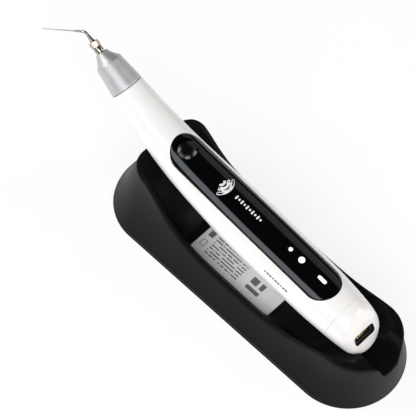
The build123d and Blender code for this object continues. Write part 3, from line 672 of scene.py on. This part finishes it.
def block_along(centre, normal, width, height, low, high, chamfer):
    """A block with chamfered corners that runs along a line, used as a cutting tool."""
    mesh = bmesh.new()
    bmesh.ops.create_cube(mesh, size=1.0)
    bmesh.ops.scale(mesh, vec=(width, height, high - low), verts=mesh.verts[:])
    bmesh.ops.translate(mesh, vec=(0, 0, (high + low) / 2), verts=mesh.verts[:])
    upright = [e for e in mesh.edges if abs((e.verts[0].co - e.verts[1].co).normalized().z) > 0.9]
    bmesh.ops.bevel(mesh, geom=upright, offset=chamfer, segments=1, profile=0.5, affect="EDGES", material=-1)
    bmesh.ops.transform(mesh, matrix=ring_matrix(centre, normal, 1.0), verts=mesh.verts[:])
    bmesh.ops.recalc_face_normals(mesh, faces=mesh.faces[:])
    return mesh


socket_at = Vector((57.9, 0.0, 30.6)) * mm
socket_tool = block_along(socket_at, tilted(32.0), 10.8 * mm, 4.9 * mm, -4.1 * mm, 8 * mm, 0.9 * mm)
cut(tail, as_object(socket_tool, "Socket_Tool", fitting_black))


def drill(x, y, low, high, radius, count, finish):
    """An upright round tool, in millimetres, for holes."""
    rings = [ring_matrix(Vector((x, y, z)) * mm, (0, 0, 1), radius * mm) for z in (low, high)]
    return as_object(tube(rings, count), "Drill_Tool", finish)


for side in (-1, 1):
    cut(tail, drill(50.0, 3.2 * side, 14.0, 24.5, 1.7, 40, white))
rounded(tail, 0.16 * mm, 3, 40.0)
finished(tail, "handpiece", "white_housing", "tail_cap")

# %% [markdown]
# ## The panel pocket
# The control panel is a black inlay in a round-ended pocket. The pocket is cut with a tall bar that has
# the panel's outline, a little larger, so a fine dark reveal runs round the inlay.

# %% Pocket in the housing
PANEL_TILT = -7.6
panel_x, panel_y, panel_up = tilted(PANEL_TILT), Vector((0.0, 1.0, 0.0)), tilted(90.0 + PANEL_TILT)
panel_at = Vector((-3.7, 0.0, 49.74)) * mm
PANEL_L, PANEL_W, REVEAL = 91.3, 16.0, 0.16


def on_panel(u, v, height=0.0):
    """A point over the panel, from distances along, across and above it in millimetres."""
    return panel_at + (panel_x * u + panel_y * v + panel_up * height) * mm


def on_skin(u, v, height=0.0):
    """The same, measured from the grip's surface instead of the flat panel line."""
    start = on_panel(u, v, 20.0)
    hit = skin.ray_cast(start, -panel_up)
    return hit[0] + hit[1] * height * mm


def slot_outline(length, width, count=192):
    """Points evenly spaced round a round-ended bar: a straight and an end, then the same turned round."""
    radius, straight = width / 2, length - width
    half = straight + math.pi * radius
    points = []
    for index in range(count):
        second, run = divmod(2 * half * index / count, half)
        if run < straight:
            u, v = run - straight / 2, radius
        else:
            turn = math.pi / 2 - (run - straight) / radius
            u, v = straight / 2 + radius * math.cos(turn), radius * math.sin(turn)
        points.append((-u, -v) if second else (u, v))
    return points


outline = slot_outline(PANEL_L + 2 * REVEAL, PANEL_W + 2 * REVEAL)
pocket = nested([[on_panel(u, v, h) for u, v in outline] for h in (-7.2, 6.0)])
cut(housing, as_object(pocket, "Pocket_Tool", white))
rounded(housing, 0.16 * mm, 3, 40.0)
finished(housing, "handpiece", "white_housing", "housing_shell")

# %% [markdown]
# ## The control panel
# The inlay follows the curve of the grip, so its outlines are laid on the grip's surface one inside the
# other. The outer edge is turned down in a small radius. The button's hole is drilled through it.

# %% Panel inlay
panel_steps = [(0.0, -1.25), (0.0, -0.30), (0.03, -0.15), (0.12, -0.04), (0.28, 0.0)]
panel_steps += [(inset, 0.0) for inset in (0.9, 1.6, 2.4, 3.2, 4.0, 4.8, 5.6, 6.4, 7.2, 7.9)]
panel_loops = []
for inset, height in panel_steps:
    loop = slot_outline(PANEL_L - 2 * inset, PANEL_W - 2 * inset, 320)
    panel_loops.append([on_skin(u, v, height) for u, v in loop])
panel = as_object(nested(panel_loops), "Control_Panel", panel_black, 60.0)
BUTTON_U, BUTTON_R, BUTTON_FIT = -39.2, 4.60, 0.14


def button_ring(out, height):
    """A ring about the button's axis, from how far it stands out past the button's side."""
    return ring_matrix(on_panel(BUTTON_U, 0, height), panel_up, (BUTTON_R + out) * mm)


cut(panel, as_object(tube([button_ring(BUTTON_FIT, h) for h in (-6.0, 5.0)], 96), "Hole_Tool", panel_black))
rounded(panel, 0.10 * mm, 2, 50.0)
finished(panel, "handpiece", "black_panel", "control_panel")

# %% [markdown]
# ## The power button
# A domed key turned from one profile: its crown is a ball cap, its rim has a small radius, and it drops
# into the panel's hole with a hair of clearance. It rides on its own body, because it presses in.

# %% Button
BUTTON_SIDE = [(0.8, -4.6), (0.8, -3.8), (0.0, -3.8), (0.0, -1.35), (-0.03, -1.2), (-0.10, -1.08)]
DOME_R, DOME_RISE, DOME_TOP, DOME_STEPS = BUTTON_R - 0.2, 1.55, 0.55, 24
ball = (DOME_R**2 + DOME_RISE**2) / (2 * DOME_RISE)
button_rings = [button_ring(out, height) for out, height in BUTTON_SIDE]
for step in range(DOME_STEPS):
    radius = DOME_R * (1 - step / DOME_STEPS)
    button_rings.append(button_ring(radius - BUTTON_R, DOME_TOP - ball + math.sqrt(ball**2 - radius**2)))
button = as_object(tube(button_rings, 96), "Power_Button", button_black, 50.0)
finished(button, "power_button", "black_button", "power_button")

# %% [markdown]
# ## Indicators and printed marks
# Three windows light up in the panel: a small dot, a larger dot and a bar for the charge. Each is a
# shallow lens that follows the panel. The printed marks are generic: three nested arcs and short bars.

# %% Windows and marks
INLAY_STEPS = ((1.0, -0.25), (1.0, -0.015), (0.97, 0.0), (0.5, 0.004))


def inlay(name, outlines, finish, rise, slot, *stands_for):
    """Thin flush shapes on the panel, from outlines given as points along and across it."""
    parts = []
    for points in outlines:
        mid_u, mid_v = (sum(p[k] for p in points) / len(points) for k in (0, 1))
        loops = []
        for size, step in INLAY_STEPS:
            height = step if step < -0.1 else rise + step
            shape = [(mid_u + (u - mid_u) * size, mid_v + (v - mid_v) * size) for u, v in points]
            loops.append([on_skin(u, v, height) for u, v in shape])
        parts.append(nested(loops))
    finished(as_object(joined(parts), name, finish, 45.0), "handpiece", slot, *stands_for)


def disc_outline(u, radius, count=48):
    """A disc on the panel's middle line."""
    turns = [2 * math.pi * k / count for k in range(count)]
    return [(u + radius * math.cos(a), radius * math.sin(a)) for a in turns]


level_bar = [(37.5 + a, b) for a, b in slot_outline(4.5, 1.6, 48)]
inlay("Indicator_Small", [disc_outline(19.9, 0.9)], glow, 0.03, "indicator_glow", "indicator_small")
inlay("Indicator_Large", [disc_outline(26.1, 1.4)], glow, 0.03, "indicator_glow", "indicator_large")
inlay("Charge_Level_Bar", [level_bar], glow, 0.03, "indicator_glow", "charge_level_bar")

# %% Printed marks
ARC_CENTRE, ARC_WIDTH, ARC_TURN, ARC_POINTS = -19.9, 0.95, math.radians(62), 20


def arc_outline(radius):
    """A thick arc as one closed outline: out along its far side and back along its near side."""
    turns = [ARC_TURN * (2 * k / (ARC_POINTS - 1) - 1) for k in range(ARC_POINTS)]
    points = [(radius + ARC_WIDTH / 2, a) for a in turns] + [(radius - ARC_WIDTH / 2, a) for a in turns[::-1]]
    return [(ARC_CENTRE + r * math.cos(a), r * math.sin(a)) for r, a in points]


inlay("Mark_Arcs", [arc_outline(radius) for radius in (1.6, 3.4, 5.2)], print_white, 0.02, "black_panel")
BAR_START, BAR_PITCH, BAR_WIDTH = -10.6, 1.5, 0.8
bars = []
for index, height in enumerate((1.9, 1.1) * 5):
    bars.append([(BAR_START + BAR_PITCH * index + v, u) for u, v in slot_outline(height, BAR_WIDTH, 32)])
inlay("Mark_Bars", bars, print_white, 0.02, "black_panel")

# %% Mark on the side
SIDE_UP, SIDE_START, SIDE_PITCH, SIDE_WIDTH = math.radians(21.0), 13.2, 1.45, 1.0
side_out = Vector((0.0, -math.cos(SIDE_UP), math.sin(SIDE_UP)))
side_along = Vector((1.0, 0.0, -0.1)).normalized()
side_over = side_out.cross(side_along).normalized()
pills = []
for index in range(9):
    x, z, _ = flow(SPINE, SIDE_START + SIDE_PITCH * index)
    start = Vector((x, 0.0, z)) * mm + side_out * 30 * mm
    loops = []
    for size, height in ((1.0, -0.08), (1.0, 0.008), (0.9, 0.018)):
        loop = []
        for a, b in slot_outline(1.35 if index % 3 else 0.9, SIDE_WIDTH, 32):
            hit = skin.ray_cast(start + (side_along * a * size + side_over * b * size) * mm, -side_out)
            loop.append(hit[0] + hit[1] * height * mm)
        loops.append(loop)
    pills.append(nested(loops))
finished(as_object(joined(pills), "Side_Mark", print_grey, 45.0), "handpiece", "white_housing")

# %% [markdown]
# ## The nose cone
# A turned aluminium cone screws on to the housing. Its wall tapers to a rounded shoulder, then a convex
# end closes in to a small bore for the rod. A spin of one profile about the nose's axis makes it.

# %% Turned nose
nose_frame = ring_matrix(nose_at, nose_dir, 1.0)


def turned(name, profile, finish, count):
    """Spins a profile of radius and distance, in millimetres, about the nose's axis."""
    mesh = bmesh.new()
    verts = [mesh.verts.new((radius * mm, 0.0, along * mm)) for radius, along in profile]
    edges = [mesh.edges.new(pair) for pair in zip(verts, verts[1:] + verts[:1])]
    bmesh.ops.spin(
        mesh, geom=verts + edges, cent=(0, 0, 0), axis=(0, 0, 1),
        angle=2 * math.pi, steps=count, use_merge=True,
    )
    bmesh.ops.remove_doubles(mesh, verts=mesh.verts[:], dist=1e-7)
    bmesh.ops.transform(mesh, matrix=nose_frame, verts=mesh.verts[:])
    bmesh.ops.recalc_face_normals(mesh, faces=mesh.faces[:])
    return as_object(mesh, name, finish)


def bow(first, middle, last, count):
    """Points on a smooth bow through three points of a profile."""
    points = []
    for step in range(count + 1):
        t = step / count
        weights = ((1 - t) * (1 - 2 * t), 4 * t * (1 - t), t * (2 * t - 1))
        points.append(tuple(sum(w * p[k] for w, p in zip(weights, (first, middle, last))) for k in (0, 1)))
    return points


cone_profile = [(4.6, -5.0), (5.1, -5.0), (5.2, -4.9), (5.2, 0.0), (6.85, 0.0)]
cone_profile += [(7.03, 0.06), (7.14, 0.22), (7.15, 0.40)]
cone_profile += [(7.15 - 1.33 * k / 12, 0.40 + 11.5 * k / 12) for k in range(1, 13)]
cone_profile += bow((5.80, 12.05), (5.66, 12.42), (5.36, 12.75), 8)
cone_profile += bow((5.20, 12.88), (3.95, 14.62), (2.85, 16.85), 20)
cone_profile += [(2.78, 17.06), (2.66, 17.22), (2.50, 17.30), (2.10, 17.30), (1.95, 17.24), (1.90, 17.10)]
cone_profile += [(1.90, 14.4), (4.6, 10.6)]
cone = turned("Nose_Cone", cone_profile, aluminium, 160)
finished(cone, "nose_cone", "satin_aluminium", "nose_cone")

# %% [markdown]
# ## The ultrasonic tip
# The tip's collar is a little nut: a turned body crossed with a hexagon, so the flats meet the round
# shoulders in curved edges. The shank bends, then runs out as a file that tapers to a fine point.

# %% Collar and file
collar_profile = [(1.22, 17.8), (1.72, 17.8), (1.93, 17.95), (1.95, 18.1), (1.95, 19.9), (1.93, 20.0)]
collar_profile += [(1.78, 20.1), (1.78, 20.3), (2.02, 20.45), (2.14, 20.62), (2.14, 22.5), (2.05, 22.66)]
collar_profile += [(1.80, 22.84), (1.45, 22.9), (1.22, 23.0), (1.12, 23.3), (1.05, 23.5)]
collar_profile += [(0.4, 23.5), (0.4, 17.8)]
collar = turned("Tip_Collar", collar_profile, polished, 96)
FLATS, FLAT_DEPTH = 3.7, 2.0
for side in range(6):
    flat = bmesh.new()
    bmesh.ops.create_cube(flat, size=1.0)
    bmesh.ops.scale(flat, vec=(FLAT_DEPTH * mm, 6 * mm, 2.9 * mm), verts=flat.verts[:])
    bmesh.ops.translate(flat, vec=((FLATS + FLAT_DEPTH) / 2 * mm, 0, 21.7 * mm), verts=flat.verts[:])
    turn = Matrix.Rotation(math.radians(60 * side + 8), 3, "Z")
    bmesh.ops.rotate(flat, cent=(0, 0, 0), matrix=turn, verts=flat.verts[:])
    bmesh.ops.transform(flat, matrix=nose_frame, verts=flat.verts[:])
    cut(collar, as_object(flat, "Flat_Tool", polished))
rounded(collar, 0.05 * mm, 2, 30.0)
finished(collar, "ultrasonic_tip", "polished_steel", "tip_collar")

# %% Bent file
BEND_AT, BEND_R, WIRE_R, SHANK_AT = 27.9, 2.0, 0.62, 23.3
file_vector = Vector((-18.6, -7.6, -9.8)) * mm
file_dir = file_vector.normalized()
file_turn = nose_dir.angle(file_dir)
corner = nose_at + nose_dir * BEND_AT * mm
back_off = BEND_R * mm * math.tan(file_turn / 2)
inward = (file_dir - nose_dir * file_dir.dot(nose_dir)).normalized()
bend_centre = corner - nose_dir * back_off + inward * BEND_R * mm
shank_start = nose_at + nose_dir * SHANK_AT * mm
shank_run = (corner - nose_dir * back_off - shank_start).length
file_rings = []
for step in range(9):
    left = 1 - step / 8
    spot = shank_start + nose_dir * shank_run * (1 - left)
    file_rings.append(ring_matrix(spot, nose_dir, (WIRE_R + 0.43 * left**1.4) * mm))
for step in range(1, 25):
    turn = file_turn * step / 24
    spot = bend_centre + (nose_dir * math.sin(turn) - inward * math.cos(turn)) * BEND_R * mm
    file_rings.append(ring_matrix(spot, nose_dir * math.cos(turn) + inward * math.sin(turn), WIRE_R * mm))

TIP_R, THICK_R, HILT_L = 0.13, 0.32, 3.66
HILT = [(1.2, 0.57), (2.4, 0.51), (3.3, 0.47), (3.48, 0.45), (3.6, 0.38), (HILT_L, 0.33)]
bend_out = corner + file_dir * back_off
reach = (file_vector.length - back_off) / mm
taper_l = reach - HILT_L - 0.12
for step in range(1, 25):
    HILT.append((HILT_L + taper_l * step / 24, THICK_R - (THICK_R - TIP_R) * step / 24))
for turn in (math.radians(30), math.radians(55), math.radians(75)):
    HILT.append((reach - 0.12 + 0.12 * math.sin(turn), TIP_R * math.cos(turn)))
file_rings += [ring_matrix(bend_out + file_dir * run * mm, file_dir, radius * mm) for run, radius in HILT]
tip_file = as_object(tube(file_rings, 40), "Tip_File", file_steel, 50.0)
finished(tip_file, "ultrasonic_tip", "file_steel", "tip_file")

# %% [markdown]
# ## The cradle
# The cradle is one deep moulding: a boat-shaped hull whose walls lean in, cut along a swept rim, with an
# open bay and a saddle at each end. Its surface is made from closed outlines: up the outer wall, over a
# rounded rim, then inwards over the bay. Every outline point finds its own height on the way.

# %% Hull outline
HULL_Z = (0.8, 20.0, 45.0)
HULL = [(-76.0, 26.6, 24.0, 75.2, 25.0), (-67.5, 20.4, 14.0, 73.6, 18.6), (-59.0, 18.4, 10.0, 72.6, 17.8)]
RIM = [(-90.0, 44.2), (-60.0, 43.6), (-54.0, 42.4), (-48.0, 38.4), (-42.0, 31.8), (-35.5, 25.6)]
RIM += [(-22.0, 19.8)]
RIM += [(0.0, 17.8), (18.0, 17.8), (32.5, 19.8), (41.0, 23.0), (51.0, 27.4), (58.6, 29.4), (66.7, 30.3)]
RIM += [(90.0, 30.6)]
TAIL_STEPS, SIDE_STEPS, NOSE_STEPS, CORNER_STEPS = 168, 132, 112, 44


def hull_sizes(z):
    """Nose end, its half width and corner radius, tail end and its radius, at a height."""
    a, b, c = HULL_Z
    weights = (
        (z - b) * (z - c) / ((a - b) * (a - c)),
        (z - a) * (z - c) / ((b - a) * (b - c)),
        (z - a) * (z - b) / ((c - a) * (c - b)),
    )
    return [sum(w * row[k] for w, row in zip(weights, HULL)) for k in range(5)]


keel_nose_x, keel_half, _, keel_tail_x, keel_tail_r = hull_sizes(25.0)
KEEL_NOSE, KEEL_TAIL = keel_nose_x + keel_half, keel_tail_x - keel_tail_r


def hull_point(index, z, inset=0.0):
    """One point of the outline at a height, and the point of the middle line that it faces."""
    nose_x, half, corner, tail_x, tail_r = hull_sizes(z)
    nose_c, tail_c, off = nose_x + corner, tail_x - tail_r, half - corner
    reach = math.hypot(nose_c - tail_c, off)
    lean = math.atan2(off, nose_c - tail_c) - math.acos((tail_r - corner) / reach)
    corner, tail_r = corner - inset, tail_r - inset
    if index < TAIL_STEPS:
        share = 2 * index / TAIL_STEPS - 1
        turn = lean * (0.62 * share + 0.38 * share**3)
        return tail_c + tail_r * math.cos(turn), tail_r * math.sin(turn), KEEL_TAIL
    index -= TAIL_STEPS
    side = 1
    if index > SIDE_STEPS + NOSE_STEPS / 2:
        side, index = -1, 2 * SIDE_STEPS + NOSE_STEPS - index
    if index <= SIDE_STEPS:
        part = index / SIDE_STEPS
        radius, centre = tail_r + (corner - tail_r) * part, tail_c + (nose_c - tail_c) * part
        y = off * part + radius * math.sin(lean)
        return centre + radius * math.cos(lean), side * y, KEEL_TAIL + (KEEL_NOSE - KEEL_TAIL) * part
    index -= SIDE_STEPS
    if index <= CORNER_STEPS:
        turn = lean + (math.pi - lean) * index / CORNER_STEPS
        return nose_c + corner * math.cos(turn), side * (off + corner * math.sin(turn)), KEEL_NOSE
    part = (index - CORNER_STEPS) / (NOSE_STEPS / 2 - CORNER_STEPS)
    return nose_c - corner, side * off * (1 - part), KEEL_NOSE


COUNT = TAIL_STEPS + 2 * SIDE_STEPS + NOSE_STEPS
print("outline points:", COUNT)

# %% Heights inside the cradle
BAY = [(-67.0, 45.6, 14.8, 3.4), (-58.0, 44.8, 15.7, 4.6), (-50.0, 41.0, 16.2, 6.2), (-42.0, 33.6, 16.8, 9.6)]
BAY += [(-34.0, 26.0, 17.5, 12.0), (-20.0, 20.5, 18.3, 11.0), (0.0, 19.0, 18.5, 9.6), (18.0, 19.0, 18.2, 9.6)]
BAY += [(32.0, 21.0, 17.6, 9.0), (44.0, 25.4, 17.0, 6.6), (54.0, 29.4, 15.8, 6.6), (63.0, 31.2, 11.8, 5.4)]
NOTCH = [(3.8, 20.6), (5.0, 23.5), (6.2, 27.5), (8.8, 30.2)]
NOTCH_FROM, NOTCH_REACH, NOTCH_FADE = 56.0, 12.0, 2.0
LIE_GAP, NOTHING = 0.5, 99.0


def soft_low(a, b, blend):
    """The lower of two heights, with the crease between them rounded."""
    part = max(blend - abs(a - b), 0.0) / blend
    return min(a, b) - part * part * blend * 0.25


def rim_height(x, y):
    """Height of the rim, with the notch through the tail wall."""
    height, y = flow(RIM, x)[1], abs(y)
    if x <= NOTCH_FROM or y >= NOTCH_REACH:
        return height
    gate, top = NOTCH[0][1], NOTCH[-1][0]
    if y > NOTCH[0][0] - 0.4:
        gate = flow(NOTCH, min(y, top))[1] + max(y - top, 0.0) * 4.0
    fade = min((x - NOTCH_FROM) / NOTCH_FADE, 1.0)
    return soft_low(height, gate + (1 - fade) * NOTCH_REACH, 0.5)


def bay_height(x, y):
    """Underside of the bay's elliptical sections: a middle height, half width and depth at each place."""
    if x < BAY[0][0] or x > BAY[-1][0]:
        return NOTHING
    _, middle, half, depth = flow(BAY, x)
    if abs(y) >= half:
        return NOTHING
    return middle - depth * math.sqrt(1 - (y / half) ** 2)


def trough_height(x, y):
    """Underside of the handpiece, less the gap that lets it lie free."""
    low = NOTHING
    for tree in (skin, tail_skin):
        place, normal, _, _ = tree.ray_cast(Vector((x * mm, y * mm, -0.02)), Vector((0, 0, 1)))
        if place is not None:
            low = min(low, place.z / mm - LIE_GAP / max(abs(normal.z), 0.35))
    return low


def inside_height(x, y):
    """The lowest of the rim, the bay and the trough, with soft creases between them."""
    height = soft_low(rim_height(x, y), bay_height(x, y), 1.1)
    return soft_low(height, trough_height(x, y), 0.8)


print("rim at the middle:", round(rim_height(0, 18), 2), "bay floor:", round(inside_height(0, 0), 2))

# %% Cradle surface
RIM_R, FOOT_Z, FOOT_IN = 0.65, 0.95, 0.5
tops = []
for index in range(COUNT):
    z = 30.0
    for _ in range(14):
        x, y, _ = hull_point(index, z)
        z += (inside_height(x, y) - z) * 0.6
    tops.append(z)


def wall_loop(height, inset=0.0):
    """An outline of the outer wall, at a height that is a function of the rim's height."""
    heights = [height(top) for top in tops]
    return [Vector((*hull_point(index, z, inset)[:2], z)) * mm for index, z in enumerate(heights)]


def inner_loop(inset, drop=0.0, part=0.0):
    """An outline on the inside, drawn in from the rim's place by a part of the way to the middle."""
    loop = []
    for index, top in enumerate(tops):
        x, y, middle = hull_point(index, top, inset)
        x, y = x + (middle - x) * part, y * (1 - part)
        loop.append(Vector((x, y, inside_height(x, y) - drop)) * mm)
    return loop


cradle_loops = [wall_loop(lambda top: 2.4, FOOT_IN)]
for z, inset in ((FOOT_Z, FOOT_IN), (0.84, 0.42), (0.80, 0.30), (0.83, 0.10), (FOOT_Z, 0.0)):
    cradle_loops.append(wall_loop(lambda top: z, inset))
for step in range(1, 17):
    cradle_loops.append(wall_loop(lambda top: FOOT_Z + (top - RIM_R - FOOT_Z) * step / 16))
for turn in (math.radians(degrees) for degrees in (18, 36, 54, 72, 90)):
    cradle_loops.append(inner_loop(RIM_R * (1 - math.cos(turn)), RIM_R * (1 - math.sin(turn))))
runs = [0.15 * k for k in range(1, 24)]
runs += [runs[-1] + 0.42 * k for k in range(1, 37)]
cradle_loops += [inner_loop(RIM_R, 0.0, run / runs[-1]) for run in runs]
cradle_mesh = nested(cradle_loops, cap_last=False)
bmesh.ops.remove_doubles(cradle_mesh, verts=cradle_mesh.verts[:], dist=2e-6)
bmesh.ops.dissolve_degenerate(cradle_mesh, edges=cradle_mesh.edges[:], dist=1e-6)
bmesh.ops.recalc_face_normals(cradle_mesh, faces=cradle_mesh.faces[:])
loose = sum(1 for edge in cradle_mesh.edges if not edge.is_manifold)
cradle = as_object(cradle_mesh, "Cradle_Moulding", cradle_black)
print("cradle faces:", len(cradle.data.polygons), "open edges:", loose)

# %% Openings in the cradle
def upright(outline, low, high):
    """A prism that stands on an outline, as an object to cut with."""
    loops = [[Vector((x, y, z)) * mm for x, y in outline] for z in (low, high)]
    return as_object(nested(loops), "Prism_Tool", cradle_black)


def rounded_box(x, y, length, width, corner, count=12):
    """Outline of a rectangle with rounded corners."""
    points = []
    for side, (sx, sy) in enumerate(((1, 1), (-1, 1), (-1, -1), (1, -1))):
        for step in range(count + 1):
            turn = math.radians(90 * side + 90 * step / count)
            reach_x, reach_y = sx * (length / 2 - corner), sy * (width / 2 - corner)
            points.append((x + reach_x + corner * math.cos(turn), y + reach_y + corner * math.sin(turn)))
    return points


cut(cradle, upright(rounded_box(-4.5, 0, 51.6, 32.8, 4.0), 9.0, 19.0))
cut(cradle, upright(rounded_box(50.0, 0, 12.1, 12.1, 0.2, 2), 2.0, 40.0))
cut(cradle, upright(rounded_box(24.0, 21.0, 9.0, 10.0, 0.3, 3), 3.3, 6.5))
SCREWS = [(x, y) for x in (-40.0, 40.0) for y in (-15.0, 15.0)]
hollow = upright(slot_outline(134.0, 39.0, 120), 2.0, 7.0)
for x, y in SCREWS:
    cut(hollow, drill(x, y, 1.0, 8.0, 3.2, 48, cradle_black))
cut(cradle, hollow)
for x, y in SCREWS:
    cut(cradle, drill(x, y, 1.0, 7.0, 1.15, 32, cradle_black))
finished(cradle, "cradle", "cradle_plastic", "cradle_shell")

# %% [markdown]
# ## The label
# A silver film label lies on the flat floor of the bay. It is a thin sheet with rounded corners and a
# softly turned edge, so it catches a line of light along its border.

# %% Label
label_mid = (label_low.x + label_high.x) / 2 / mm
label_l, label_w, label_t = (side / mm for side in label_high - label_low)
label_loops = []
label_steps = [(0.0, 0.0), (0.0, label_t - 0.08), (0.03, label_t - 0.02), (0.1, label_t), (0.5, label_t)]
for inset, height in label_steps:
    edge = rounded_box(label_mid, 0, label_l - 2 * inset, label_w - 2 * inset, 1.6 - inset)
    label_loops.append([Vector((x, y, label_low.z / mm + height)) * mm for x, y in edge])
label = as_object(nested(label_loops), "Rating_Label", label_film, 50.0)
finished(label, "cradle", "label_foil", "rating_label")

# %% [markdown]
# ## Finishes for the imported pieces
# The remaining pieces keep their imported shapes. Each gets the finish of the real piece: green boards,
# black chips, a blue cell jacket, ground ceramic, gold contacts, rubber feet and steel screws.

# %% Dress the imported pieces
DRESS = (
    (board, "main_board", "indicator_board", "charging_board"),
    (chip, "board_chips", "charging_chips"),
    (lens, "indicator_lamps"),
    (shield, "button_switch", "power_inlet"),
    (copper, "drive_coil"),
    (jacket, "battery_cell"),
    (holder, "battery_holder", "transducer_sleeve"),
    (titanium, "transducer_horn"),
    (ceramic, "piezo_discs"),
    (gold, "electrode_plates", "port_contacts", "charging_pads", "inlet_contacts"),
    (gold, "contact_pin_near", "contact_pin_far"),
    (screw_steel, "back_mass", "preload_bolt", "cover_screws"),
    (seal_rubber, "nose_seal_ring", "rubber_feet"),
    (fitting_black, "charge_port", "contact_block"),
    (base_black, "base_plate"),
    (ballast, "ballast_plate"),
)
for finish, *names in DRESS:
    for name in names:
        for slot in bpy.data.objects[name].material_slots:
            slot.material = finish.material
print("packed pieces dressed:", sum(len(names) for finish, *names in DRESS))

# %% [markdown]
# ## Floor
# The object stands on a seamless white floor. A faint grain keeps the floor from looking like a flat card,
# and a little light of its own keeps it near white out to the corners, so only a soft shadow remains.

# %% Floor
floor_mesh = bmesh.new()
bmesh.ops.create_grid(floor_mesh, x_segments=8, y_segments=8, size=4.0)
floor_finish = Finish("Studio_Floor", Roughness=0.9)
floor_tone = floor_finish.noise(30.0, 2.0)
floor_finish.use(Base_Color=floor_finish.blend(floor_tone, (0.17, 0.17, 0.17), (0.19, 0.19, 0.19)))
floor_finish.set(floor_finish.surface, {"Emission Color": (1.0, 1.0, 1.0), "Emission Strength": 0.83})
floor = as_object(floor_mesh, "Studio_Floor", floor_finish)
print("floor ready")
